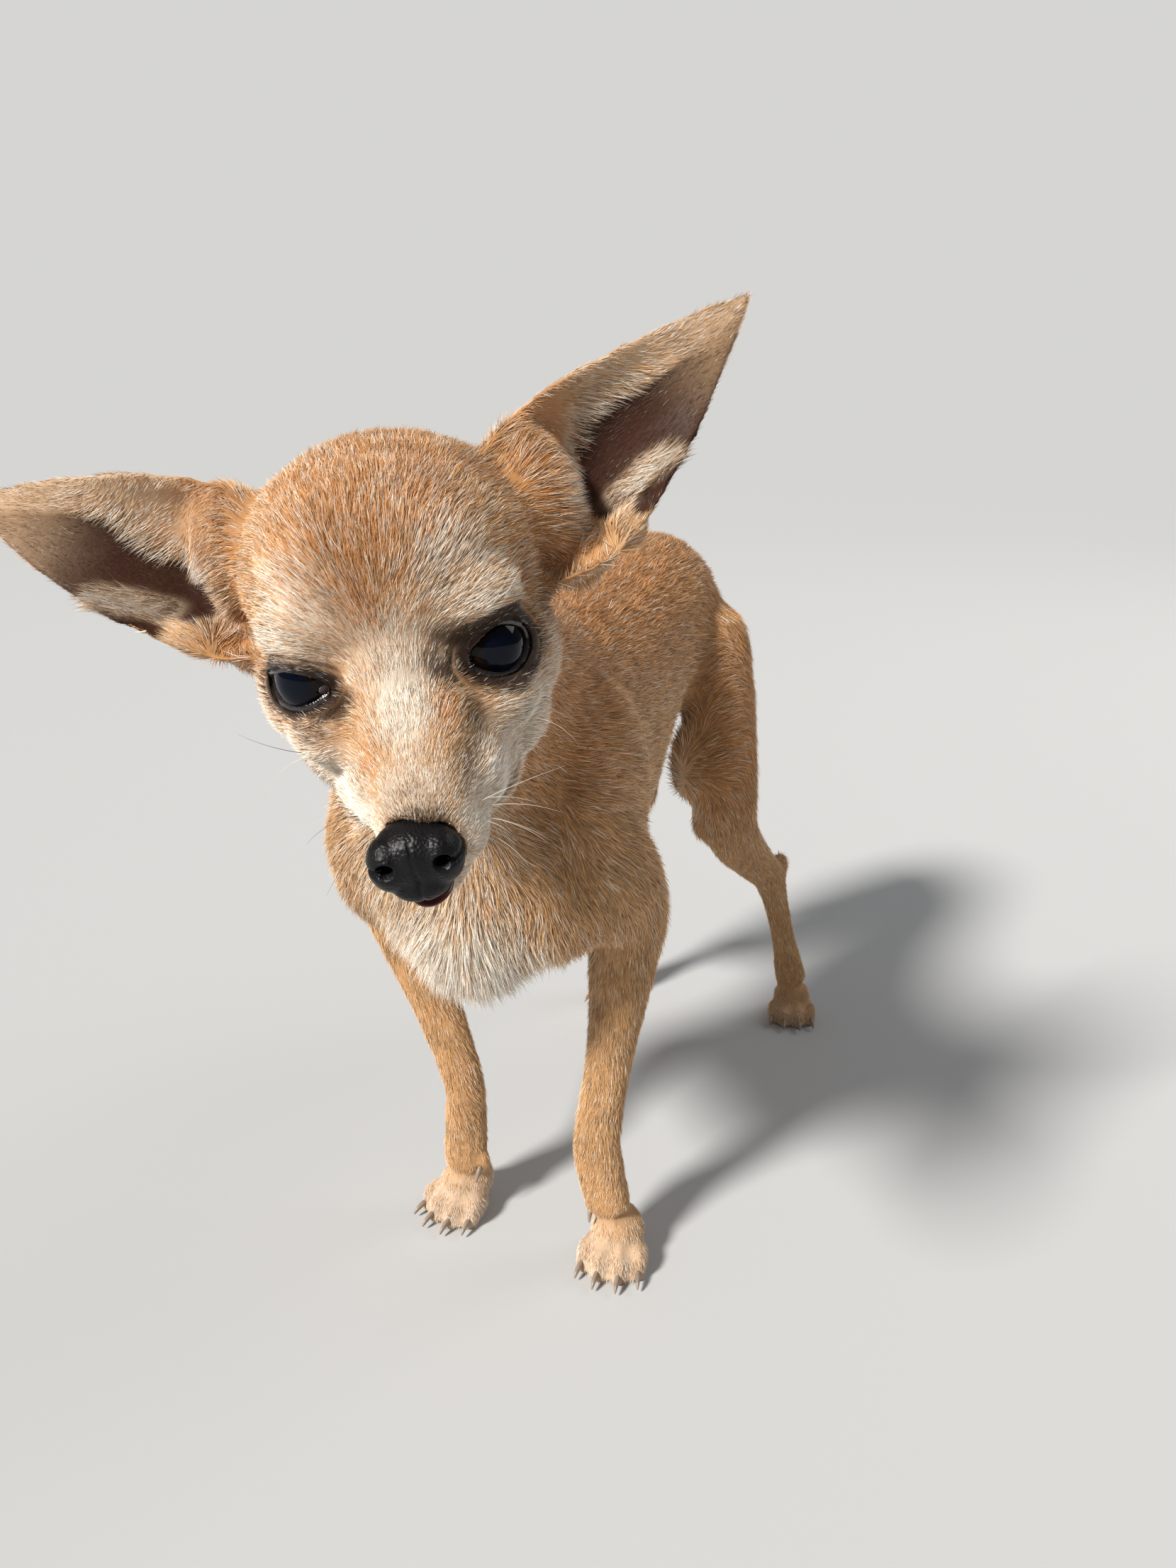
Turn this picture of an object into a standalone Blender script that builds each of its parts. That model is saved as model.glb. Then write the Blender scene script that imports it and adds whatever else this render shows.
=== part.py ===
"""A short-haired tan chihuahua at life size, standing and leaning forward with its head tilted and turned.

Units are metres, +Z is up and the dog faces -Y, so its left side is +X. The whole body is shaped as one skin
from lofted limbs and rounded muscles, then parted with thin flat cuts into the parts that a person would name.
"""

import math

import bmesh
import bpy
import numpy as np
from mathutils import Euler, Matrix, Vector

# Clearances, mesh sizes and how much of the smoothing each region takes
GAP = 0.0003
VOXEL = 0.0012
RING_SIDES = 20
TRUNK_SMOOTHING = 60
LEG_SMOOTHING = 8
HEAD_SMOOTHING = 20
FINE_SMOOTHING = 3
REGION_TRIANGLES = {"body": 3000, "paws": 1300, "ears": 1100, "head": 2300}

# Trunk: x, y, z of each section's centre, then its half width and half height
TORSO = [
    (0.001, -0.051, 0.160, 0.016, 0.018),
    (0.001, -0.043, 0.161, 0.030, 0.034),
    (0.000, -0.018, 0.167, 0.040, 0.053),
    (0.000, 0.018, 0.174, 0.043, 0.063),
    (0.000, 0.055, 0.180, 0.038, 0.060),
    (0.000, 0.090, 0.192, 0.034, 0.050),
    (0.000, 0.120, 0.204, 0.031, 0.042),
    (0.000, 0.150, 0.211, 0.031, 0.041),
    (0.000, 0.177, 0.210, 0.029, 0.036),
    (0.000, 0.194, 0.208, 0.018, 0.022),
]
NECK = [
    (0.000, 0.015, 0.196, 0.036, 0.046),
    (0.004, -0.020, 0.209, 0.034, 0.043),
    (0.011, -0.050, 0.226, 0.029, 0.036),
    (0.018, -0.077, 0.243, 0.026, 0.031),
    (0.022, -0.090, 0.252, 0.022, 0.026),
]
TAIL = [
    (0.000, 0.180, 0.222, 0.0110, 0.0110),
    (0.000, 0.203, 0.221, 0.0088, 0.0088),
    (-0.003, 0.219, 0.204, 0.0075, 0.0075),
    (-0.008, 0.224, 0.176, 0.0066, 0.0066),
    (-0.013, 0.222, 0.147, 0.0056, 0.0056),
    (-0.017, 0.219, 0.120, 0.0046, 0.0046),
    (-0.019, 0.222, 0.098, 0.0032, 0.0032),
]

# Rounded muscles and bones of the trunk: centre, radii; the second list is made on both sides
TRUNK_LUMPS = [
    ((0.0, 0.020, 0.224), (0.0200, 0.0340, 0.0160)),
    ((0.007, -0.033, 0.147), (0.0220, 0.0210, 0.0280)),
    ((0.0, 0.163, 0.229), (0.0170, 0.0280, 0.0220)),
]
FLANK_LUMPS = [
    ((0.0320, 0.0060, 0.1800), (0.0200, 0.0270, 0.0400)),
    ((0.0310, -0.0180, 0.1580), (0.0215, 0.0250, 0.0300)),
    ((0.0260, 0.1660, 0.1930), (0.0198, 0.0260, 0.0290)),
    ((0.0275, 0.1345, 0.1530), (0.0095, 0.0115, 0.0200)),
]

# Legs: joints from the body down, each with its half width and half depth
FORELEGS = {
    "left": [
        (0.030, -0.002, 0.205, 0.012, 0.024),
        (0.043, -0.014, 0.166, 0.0160, 0.0230),
        (0.0455, 0.006, 0.140, 0.0150, 0.0185),
        (0.0430, 0.009, 0.116, 0.0132, 0.0145),
        (0.0408, 0.004, 0.085, 0.0100, 0.0102),
        (0.0380, 0.000, 0.058, 0.0096, 0.0090),
        (0.0374, -0.001, 0.043, 0.0098, 0.0086),
        (0.0425, -0.002, 0.020, 0.0090, 0.0078),
    ],
    "right": [
        (-0.029, -0.004, 0.205, 0.012, 0.024),
        (-0.040, -0.016, 0.165, 0.0155, 0.0230),
        (-0.0480, 0.006, 0.138, 0.0148, 0.0185),
        (-0.0480, 0.012, 0.116, 0.0140, 0.0145),
        (-0.0340, 0.009, 0.085, 0.0105, 0.0102),
        (-0.0205, 0.004, 0.058, 0.0090, 0.0088),
        (-0.0190, 0.003, 0.042, 0.0088, 0.0084),
        (-0.0200, 0.003, 0.020, 0.0090, 0.0078),
    ],
}
HINDLEGS = {
    "left": [
        (0.026, 0.168, 0.212, 0.014, 0.022),
        (0.032, 0.162, 0.187, 0.0155, 0.0290),
        (0.0360, 0.155, 0.160, 0.0165, 0.0275),
        (0.0400, 0.150, 0.135, 0.0155, 0.0225),
        (0.0430, 0.154, 0.1165, 0.0128, 0.0165),
        (0.0475, 0.167, 0.1010, 0.0105, 0.0128),
        (0.0520, 0.180, 0.0890, 0.0096, 0.0104),
        (0.0550, 0.189, 0.0790, 0.0086, 0.0092),
        (0.0580, 0.194, 0.0640, 0.0072, 0.0078),
        (0.0620, 0.199, 0.0420, 0.0068, 0.0070),
        (0.0660, 0.203, 0.0190, 0.0084, 0.0074),
    ],
    "right": [
        (-0.026, 0.168, 0.212, 0.014, 0.022),
        (-0.031, 0.160, 0.187, 0.0155, 0.0290),
        (-0.0340, 0.151, 0.160, 0.0165, 0.0275),
        (-0.0350, 0.144, 0.135, 0.0155, 0.0225),
        (-0.0340, 0.147, 0.1165, 0.0128, 0.0165),
        (-0.0315, 0.159, 0.1010, 0.0105, 0.0128),
        (-0.0290, 0.172, 0.0880, 0.0096, 0.0104),
        (-0.0275, 0.180, 0.0780, 0.0086, 0.0092),
        (-0.0265, 0.184, 0.0630, 0.0072, 0.0078),
        (-0.0255, 0.187, 0.0420, 0.0068, 0.0070),
        (-0.0250, 0.187, 0.0190, 0.0084, 0.0074),
    ],
}

# Elbows, wrists, knees and the points of the hocks: joint, place beside it, radii
JOINT_LUMPS = {
    "fore": [
        (3, (0.0, 0.0120, 0.0080), (0.0068, 0.0075, 0.0090)),
        (5, (0.0, 0.0060, -0.0060), (0.0060, 0.0050, 0.0060)),
    ],
    "hind": [
        (4, (-0.0060, -0.0130, 0.0070), (0.0105, 0.0090, 0.0110)),
        (7, (0.0030, 0.0085, 0.0045), (0.0054, 0.0062, 0.0098)),
    ],
}

# Paws: where the foot stands, which way it points about +Z, and its scale
PAWS = {
    "forepaw_left": (Vector((0.0460, -0.0035, 0.0)), math.radians(8), 0.96),
    "forepaw_right": (Vector((-0.0205, 0.0015, 0.0)), math.radians(-10), 0.96),
    "hindpaw_left": (Vector((0.0675, 0.2000, 0.0)), math.radians(14), 0.90),
    "hindpaw_right": (Vector((-0.0250, 0.1840, 0.0)), math.radians(-4), 0.90),
}

# In a paw's own frame, toes towards -Y: the foot's masses, then each toe's place, radii, droop and fan, and its pad
PAW_LUMPS = [
    ((0.0, 0.0030, 0.0115), (0.0108, 0.0125, 0.0095)),
    ((0.0, 0.0030, 0.0020), (0.0090, 0.0085, 0.0052)),
]
TOE_SPREAD = (-0.0098, -0.0036, 0.0036, 0.0098)
TOE_REACH = (-0.0085, -0.0125, -0.0125, -0.0085)
TOE_RADII = (0.0041, 0.0085, 0.0056)
TOE_BEHIND = 0.0045
TOE_HEIGHT = 0.0062
TOE_DROOP = math.radians(8)
TOE_FAN = math.radians(12)
PAD_RADII = (0.0036, 0.0046, 0.0038)
PAD_AHEAD = 0.0005
PAD_HEIGHT = 0.0022
PAD_SPREAD = 1.08
DEWCLAW_PLACE = (0.0098, 0.0015, 0.0245)
DEWCLAW_RADII = (0.0030, 0.0036, 0.0050)

# Claws: the place ahead of the toe, the fan and rake, then along the claw, as shares of its length and radius
CLAW_LENGTH = 0.0068
CLAW_RADIUS = 0.0012
CLAW_SIDES = 6
CLAW_OUT = 0.0008
CLAW_AHEAD = 0.0046
CLAW_HEIGHT = 0.0040
CLAW_FAN = math.radians(10)
CLAW_RAKE = math.radians(14)
DEWCLAW_ROOT = (0.0, -0.0030, -0.0030)
DEWCLAW_RAKE = math.radians(50)
CLAW_STATIONS = [
    (0.30, 0.0002, 0.95, 1.10),
    (-0.10, 0.0004, 1.00, 1.20),
    (-0.45, 0.0001, 0.72, 0.90),
    (-0.72, -0.0009, 0.28, 0.35),
]

# Head: where the point midway between the eyes lies, and how the head is turned
HEAD_PLACE = Vector((0.0365, -0.1194, 0.2477))
HEAD_LEFT = Vector((0.8906, 0.4199, 0.1753))
HEAD_BACK = Vector((-0.4508, 0.8665, 0.2147))
HEAD_MIDDLE = (0.0, 0.012, 0.002)
HEAD_REACH = 0.070
EAR_BEGINS = 0.040
EAR_FLOOR = -0.020
PAW_TOP = 0.030
TRUNK_BOTTOM = 0.118
TRUNK_BLEND = 0.030

# Sizes below are in the head's own frame: +X its left, +Y its back, +Z its crown
MUZZLE = [
    (0.0, 0.012, -0.011, 0.0230, 0.0190),
    (0.0, -0.006, -0.0125, 0.0168, 0.0150),
    (0.0, -0.020, -0.0175, 0.0124, 0.0122),
    (0.0, -0.032, -0.0225, 0.0104, 0.0104),
    (0.0, -0.0395, -0.0260, 0.0082, 0.0081),
]
JAW = [
    (0.0, 0.036, -0.022, 0.0190, 0.0110),
    (0.0, 0.012, -0.0285, 0.0145, 0.0092),
    (0.0, -0.012, -0.0335, 0.0096, 0.0070),
    (0.0, -0.028, -0.0362, 0.0066, 0.0052),
    (0.0, -0.0345, -0.0368, 0.0042, 0.0038),
]
# The photograph shows more of the muzzle's left side: how far it stands to the left, by its place along the head
MUZZLE_LEAN = [
    (-0.0500, 0.0004),
    (-0.0405, 0.0008),
    (-0.0300, 0.0024),
    (-0.0180, 0.0028),
    (-0.0040, 0.0012),
    (0.0080, 0.0),
]
# Rounded masses of the skull and face: centre, radii; those off the middle are made on both sides
SKULL_LUMPS = [
    ((0.0, 0.031, 0.0125), (0.0358, 0.0385, 0.0305)),
    ((0.0, 0.016, 0.0190), (0.0285, 0.0230, 0.0230)),
    ((0.0, 0.048, 0.0000), (0.0260, 0.0240, 0.0270)),
    ((0.0, 0.0050, -0.0040), (0.0140, 0.0175, 0.0175)),
]
FACE_LUMPS = [
    ((0.0165, 0.0070, 0.0110), (0.0135, 0.0125, 0.0110)),
    ((0.0240, 0.0210, -0.0085), (0.0125, 0.0215, 0.0155)),
    ((0.0165, 0.0040, -0.0120), (0.0135, 0.0150, 0.0105)),
    ((0.0180, 0.0340, -0.0180), (0.0130, 0.0190, 0.0160)),
    ((0.0100, -0.0110, -0.0212), (0.0084, 0.0175, 0.0096)),
    ((0.0062, -0.0290, -0.0262), (0.0064, 0.0115, 0.0074)),
    ((0.0180, 0.0200, -0.0225), (0.0135, 0.0200, 0.0140)),
    ((0.0120, 0.0020, -0.0280), (0.0105, 0.0180, 0.0095)),
    ((0.0360, 0.0400, 0.0190), (0.0115, 0.0140, 0.0180)),
]
EYE_RADIUS = 0.0096
EYE_CENTRE = Vector((0.0192, 0.0064, -0.0011))
EYE_TURN = math.radians(28)
EYE_LIFT = math.radians(3)
EYE_SIDES = 16
EYE_RINGS = 10
CORNEA_BULGE = 0.0007
CORNEA_BEGINS = 0.75
LID_THICKNESS = 0.0022
LID_TILT = math.radians(1)
LID_POINTEDNESS = 0.18
LID_POINTS = 20
LID_CUT_FROM = 0.3
LID_CUT_DEPTH = 1.4
LID_FLARE = 1.12

# Each eye's opening, an almond: how far out its middle lies, half its width, then its reach up and down
LIDS = {"left": (0.0004, 0.0078, 0.0054, 0.0050), "right": (0.0008, 0.0086, 0.0041, 0.0046)}

NOSE_CENTRE = Vector((-0.0003, -0.0405, -0.0234))
NOSE_LUMPS = [
    ((0.0, 0.0, -0.0006), (0.0086, 0.0060, 0.0070)),
    ((0.0052, -0.0006, -0.0006), (0.0047, 0.0056, 0.0060)),
    ((-0.0052, -0.0006, -0.0006), (0.0047, 0.0056, 0.0060)),
    ((0.0, 0.0018, 0.0032), (0.0072, 0.0048, 0.0034)),
    ((0.0, -0.0012, -0.0060), (0.0062, 0.0046, 0.0036)),
]
NOSTRIL_SWEEP = 1.4
NOSTRILS = [
    ((0.0060, -0.0058, 0.0005), (0.0021, 0.0046, 0.0018), 0.0),
    ((0.0084, -0.0038, -0.0003), (0.0028, 0.0030, 0.0008), 0.35),
]
PHILTRUM = ((0.0, -0.0078, -0.0050), (0.0004, 0.0024, 0.0056))
NOSE_SMOOTHING = 6
NOSE_VOXEL = 0.0005
NOSE_TRIANGLES = 460

# The mouth's line from the lips back to its corner, then down through the jaw, as y and z
MOUTH_LINE = [
    (-0.0600, -0.0342),
    (-0.0400, -0.0338),
    (-0.0280, -0.0335),
    (-0.0160, -0.0312),
    (-0.0080, -0.0282),
    (-0.0030, -0.0270),
    (0.0010, -0.0310),
    (0.0035, -0.0400),
    (0.0045, -0.0600),
]
MOUTH_HALF_WIDTH = 0.034
MOUTH_GAP = 0.0006
TONGUE_CENTRE = (-0.0002, -0.0328, -0.0363)
TONGUE_RADII = (0.0050, 0.0072, 0.0014)
TONGUE_TILT = math.radians(6)

# Ears: half width of the shell along its length, as a share of it for each ear, and how far round its cup curls
EAR_ROOT = 0.28
EAR_THICKNESS = 0.0024
EAR_ALONG = 18
EAR_ACROSS = 10
EAR_WIDTHS = [
    (-0.3, 0.0130),
    (-0.1, 0.0190),
    (0.0, 0.0212),
    (0.2, 0.0206),
    (0.4, 0.0180),
    (0.6, 0.0136),
    (0.8, 0.0082),
    (0.92, 0.0045),
    (1.0, 0.0012),
]
EAR_BREADTH = {"left": [(0.0, 0.90), (0.4, 0.81)], "right": [(0.0, 1.0)]}
EAR_BOW = 0.004
EAR_CURL = [(-0.3, 2.0), (0.0, 1.6), (0.2, 1.25), (0.45, 0.85), (0.7, 0.55), (1.0, 0.35)]
EAR_BASE = {"left": Vector((0.0421, 0.0313, 0.0222)), "right": Vector((-0.0360, 0.0285, 0.0170))}
EAR_AXIS = {"left": Vector((0.0544, 0.0253, 0.0313)), "right": Vector((-0.0617, 0.0205, 0.0246))}
EAR_FACE = {"left": Vector((0.34, -0.80, 0.48)), "right": Vector((-0.10, -0.88, 0.42))}

# The flesh behind an ear's root, the knob at the foot of its back edge and the flesh that joins it to the cheek:
# share of the ear's length, then how far across and towards its face; radii along, across and towards the face
EAR_LUMPS = [
    ((-0.14, 0.0, -0.024), (0.0130, 0.0110, 0.0140)),
    ((-0.06, 0.0160, -0.012), (0.0095, 0.0062, 0.0075)),
]
EAR_KNOBS = {
    "left": ((0.095, 0.0182, -0.0060), (0.0064, 0.0050, 0.0055)),
    "right": ((0.10, 0.0165, -0.0055), (0.0085, 0.0052, 0.0056)),
}

# Colours, as linear red, green and blue
TAN = (0.60, 0.33, 0.14)
PALE_TAN = (0.74, 0.52, 0.29)
BLACK_SKIN = (0.012, 0.010, 0.011)
TONGUE_PINK = (0.30, 0.10, 0.09)
HORN = (0.52, 0.40, 0.30)

SIDES = {"left": 1, "right": -1}


def clear_scene():
    """Empties the scene of whatever it starts with."""
    for obj in list(bpy.data.objects):
        bpy.data.objects.remove(obj, do_unlink=True)


def material(name, colour, roughness, metallic=0.0):
    """A plain Principled material."""
    made = bpy.data.materials.new(name)
    made.use_nodes = True
    shader = made.node_tree.nodes["Principled BSDF"]
    shader.inputs["Base Color"].default_value = (*colour, 1.0)
    shader.inputs["Roughness"].default_value = roughness
    shader.inputs["Metallic"].default_value = metallic
    made.diffuse_color = (*colour, 1.0)
    return made


def new_object(name, bm, finish=None):
    """A mesh object made from a bmesh, which is freed."""
    mesh = bpy.data.meshes.new(name)
    bm.to_mesh(mesh)
    bm.free()
    obj = bpy.data.objects.new(name, mesh)
    bpy.context.scene.collection.objects.link(obj)
    if finish:
        mesh.materials.append(finish)
    return obj


def apply_modifiers(obj):
    """Makes the evaluated mesh the object's own and drops its modifiers."""
    bpy.context.view_layer.update()
    graph = bpy.context.evaluated_depsgraph_get()
    mesh = bpy.data.meshes.new_from_object(obj.evaluated_get(graph))
    obj.modifiers.clear()
    obj.data = mesh


def head_matrix():
    """The head's own frame in the world, with its origin between the eyes."""
    left = HEAD_LEFT.normalized()
    up = left.cross(HEAD_BACK).normalized()
    back = up.cross(left)
    turn = Matrix((left, back, up)).transposed().to_4x4()
    return Matrix.Translation(HEAD_PLACE) @ turn


def stepped(table, at):
    """A value read from a short table of places and values, with straight runs between them."""
    places, values = zip(*table)
    return float(np.interp(at, places, values))


def smooth_through(stations, per_span):
    """Rows read from a smooth curve through the given rows."""
    rows = np.array(stations, float)
    rows = np.vstack([2 * rows[0] - rows[1], rows, 2 * rows[-1] - rows[-2]])
    found = []
    for i in range(1, len(rows) - 2):
        before, start, end, after = rows[i - 1 : i + 3]
        for step in range(per_span):
            t = step / per_span
            found.append(
                0.5
                * (
                    2 * start
                    + (end - before) * t
                    + (2 * before - 5 * start + 4 * end - after) * t**2
                    + (3 * start - before - 3 * end + after) * t**3
                )
            )
    found.append(rows[-2])
    return np.array(found)


def loft(bm, stations, per_span=3, sides=RING_SIDES, place=Matrix.Identity(4)):
    """A closed tube of elliptical rings along a smooth path; its width lies across the world's or the frame's X."""
    rows = smooth_through(stations, per_span)
    tangents = np.gradient(rows[:, :3], axis=0)
    first = last = None
    for row, tangent in zip(rows, tangents):
        along = Vector(tangent).normalized()
        side = Vector((1, 0, 0))
        side = (side - along * side.dot(along)).normalized()
        rise = along.cross(side)
        frame = Matrix((side * row[3], rise * row[4], along)).transposed().to_4x4()
        frame.translation = row[:3]
        ring = bmesh.ops.create_circle(bm, segments=sides, radius=1, matrix=place @ frame)
        edges = list(dict.fromkeys(edge for vert in ring["verts"] for edge in vert.link_edges))
        if last:
            bmesh.ops.bridge_loops(bm, edges=last + edges)
        else:
            first = edges
        last = edges
    for end in (first, last):
        bmesh.ops.edgeloop_fill(bm, edges=end)


def lump(bm, centre, radii, place=Matrix.Identity(4), turn=(0, 0, 0), detail=3):
    """A rounded mass: a sphere stretched to three radii."""
    frame = place @ Matrix.Translation(centre) @ Euler(turn).to_matrix().to_4x4()
    frame = frame @ Matrix.Diagonal((*radii, 1))
    bmesh.ops.create_icosphere(bm, subdivisions=detail, radius=1, matrix=frame)


def mirrored(point, side):
    """A point of the left side, or the same point on the right where side is -1."""
    return Vector((point[0] * side, point[1], point[2]))


def add_trunk(bm):
    """Torso, neck and tail, with the muscles and bones that show under a short coat."""
    loft(bm, TORSO)
    loft(bm, NECK)
    loft(bm, TAIL, sides=12)
    for centre, radii in TRUNK_LUMPS:
        lump(bm, centre, radii)
    for side in SIDES.values():
        for centre, radii in FLANK_LUMPS:
            lump(bm, mirrored(centre, side), radii)


def add_legs(bm):
    """The four legs, from inside the trunk down to the feet."""
    for stations in (*FORELEGS.values(), *HINDLEGS.values()):
        loft(bm, stations, sides=16)
    for name in SIDES:
        for joint, offset, radii in JOINT_LUMPS["fore"]:
            lump(bm, Vector(FORELEGS[name][joint][:3]) + Vector(offset), radii)
        for joint, offset, radii in JOINT_LUMPS["hind"]:
            out = Vector((offset[0] * SIDES[name], *offset[1:]))
            lump(bm, Vector(HINDLEGS[name][joint][:3]) + out, radii)


def paw_frame(name):
    """A paw's own frame on the floor, with its toes towards -Y, and the paw's scale in it."""
    place, heading, scale = PAWS[name]
    return Matrix.Translation(place) @ Matrix.Rotation(heading, 4, "Z") @ Matrix.Scale(scale, 4)


def toe_places():
    """Each toe's sideways place, its reach and the way it fans out."""
    for across, reach in zip(TOE_SPREAD, TOE_REACH):
        yield across, reach, across / abs(TOE_SPREAD[0])


def add_paws(bm):
    """Four feet with their toes, knuckles and pads; the pads run below the floor, where they are cut flat."""
    for name in PAWS:
        frame = paw_frame(name)
        for centre, radii in PAW_LUMPS:
            lump(bm, centre, radii, frame)
        for across, reach, fan in toe_places():
            lump(bm, (across, reach + TOE_BEHIND, TOE_HEIGHT), TOE_RADII, frame, (-TOE_DROOP, 0, TOE_FAN * fan))
            lump(bm, (across * PAD_SPREAD, reach - PAD_AHEAD, PAD_HEIGHT), PAD_RADII, frame)


def dewclaw_frame(name, side):
    """The frame of a foreleg's dewclaw, on the inner side above the paw."""
    return paw_frame(name) @ Matrix.Translation(mirrored(DEWCLAW_PLACE, -side))


def add_dewclaws(bm):
    """The small inner toes of the forelegs."""
    for name, side in SIDES.items():
        lump(bm, (0, 0, 0), DEWCLAW_RADII, dewclaw_frame(f"forepaw_{name}", side))


def add_head(bm, head):
    """Skull, cheeks, brows, muzzle, lips and jaw, and the flesh that will be the eyelids."""
    for centre, radii in SKULL_LUMPS:
        lump(bm, centre, radii, head, detail=4)
    for stations in (MUZZLE, JAW):
        loft(bm, [(x + stepped(MUZZLE_LEAN, y), y, *rest) for x, y, *rest in stations], place=head)
    lid = EYE_RADIUS + LID_THICKNESS
    for side in SIDES.values():
        for centre, radii in FACE_LUMPS:
            lean = Vector((stepped(MUZZLE_LEAN, centre[1]), 0, 0))
            lump(bm, mirrored(centre, side) + lean, radii, head)
        lump(bm, mirrored(EYE_CENTRE, side), (lid, lid, lid), head)


def ear_axes(name):
    """An ear's length, width and facing directions in the head's frame, at right angles."""
    along = EAR_AXIS[name].normalized()
    face = EAR_FACE[name]
    face = (face - along * face.dot(along)).normalized()
    across = along.cross(face) * SIDES[name]
    return along, across, face


def ear_point(name, share, turn):
    """A point of the ear's middle sheet: share runs from root to tip, turn from its front edge, -1, to its back."""
    _, across, face = ear_axes(name)
    half = stepped(EAR_WIDTHS, share) * stepped(EAR_BREADTH[name], share)
    curl = stepped(EAR_CURL, share)
    radius = half / math.sin(min(curl, math.pi / 2))
    sideways = radius * math.sin(turn * curl)
    depth = radius * (math.cos(turn * curl) - max(math.cos(curl), 0.0))
    bow = EAR_BOW * math.sin(math.pi * max(share, 0.0))
    return EAR_BASE[name] + EAR_AXIS[name] * share + across * sideways - face * (depth - bow)


def add_ear(bm, name, head):
    """One ear: a curled sheet given thickness, with its root sunk in the skull."""
    shell = bmesh.new()
    bmesh.ops.create_grid(shell, x_segments=EAR_ALONG, y_segments=EAR_ACROSS, size=1)
    for vert in shell.verts:
        share = -EAR_ROOT + (1 + EAR_ROOT) * (vert.co.x + 1) / 2
        vert.co = ear_point(name, share, vert.co.y)
    bmesh.ops.recalc_face_normals(shell, faces=shell.faces)
    bmesh.ops.solidify(shell, geom=shell.faces[:], thickness=EAR_THICKNESS)
    bmesh.ops.transform(shell, matrix=head, verts=shell.verts)
    sheet = bpy.data.meshes.new("ear_sheet")
    shell.to_mesh(sheet)
    shell.free()
    bm.from_mesh(sheet)
    bpy.data.meshes.remove(sheet)
    along, across, face = ear_axes(name)
    turn = Matrix((along, across, face)).transposed().to_4x4()
    for (share, aside, ahead), radii in (*EAR_LUMPS, EAR_KNOBS[name]):
        middle = EAR_BASE[name] + EAR_AXIS[name] * share + across * aside + face * ahead
        lump(bm, (0, 0, 0), radii, head @ Matrix.Translation(middle) @ turn)


def region_of(points, head):
    """Which region of REGION_TRIANGLES each point of the skin belongs to, as an index."""
    inverse = np.array(head.inverted())
    local = points @ inverse[:3, :3].T + inverse[:3, 3]
    region = np.zeros(len(points), int)
    region[points[:, 2] < PAW_TOP] = 1
    near_head = np.linalg.norm(local - np.array(HEAD_MIDDLE), axis=1) < HEAD_REACH
    region[near_head] = 3
    ear = (np.abs(local[:, 0]) > EAR_BEGINS) & (local[:, 2] > EAR_FLOOR) & (local[:, 1] < HEAD_REACH)
    region[ear] = 2
    return region


def vertex_points(obj):
    """The object's vertices as an array."""
    flat = np.empty(len(obj.data.vertices) * 3, np.float32)
    obj.data.vertices.foreach_get("co", flat)
    return flat.reshape(-1, 3).astype(float)


def weigh(obj, name, weights):
    """Gives each vertex its weight in a vertex group."""
    group = obj.vertex_groups.get(name) or obj.vertex_groups.new(name=name)
    steps = np.round(weights * 10).astype(int)
    for step in range(1, 11):
        chosen = np.flatnonzero(steps == step)
        if len(chosen):
            group.add(chosen.tolist(), step / 10, "REPLACE")
    return group.name


def smoothed(obj, iterations, group=""):
    """Adds a Smooth modifier."""
    smooth = obj.modifiers.new("smooth", "SMOOTH")
    smooth.factor = 0.5
    smooth.iterations = iterations
    smooth.vertex_group = group


def remeshed(obj, voxel):
    """Fuses overlapping forms into one skin."""
    remesh = obj.modifiers.new("fuse", "REMESH")
    remesh.mode = "VOXEL"
    remesh.voxel_size = voxel


def thinned(obj, triangles):
    """Reduces the mesh to about this many triangles."""
    now = sum(len(face.vertices) - 2 for face in obj.data.polygons)
    decimate = obj.modifiers.new("thin", "DECIMATE")
    decimate.ratio = min(1.0, triangles / now)
    apply_modifiers(obj)


def thinned_by_region(obj, head):
    """Reduces each region of the skin to its own number of triangles and leaves the others as they are."""
    for number, target in enumerate(REGION_TRIANGLES.values()):
        mine = region_of(vertex_points(obj), head) == number
        total = sum(len(face.vertices) - 2 for face in obj.data.polygons)
        held = sum(len(face.vertices) - 2 for face in obj.data.polygons if mine[face.vertices[0]])
        group = weigh(obj, "thin", mine.astype(float))
        decimate = obj.modifiers.new("thin", "DECIMATE")
        decimate.ratio = (total - held + min(target, held)) / total
        decimate.vertex_group = group
        apply_modifiers(obj)
        obj.vertex_groups.clear()


def triangulated(obj):
    """Splits every face into triangles."""
    bm = bmesh.new()
    bm.from_mesh(obj.data)
    bmesh.ops.triangulate(bm, faces=bm.faces)
    bm.to_mesh(obj.data)
    bm.free()


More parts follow.
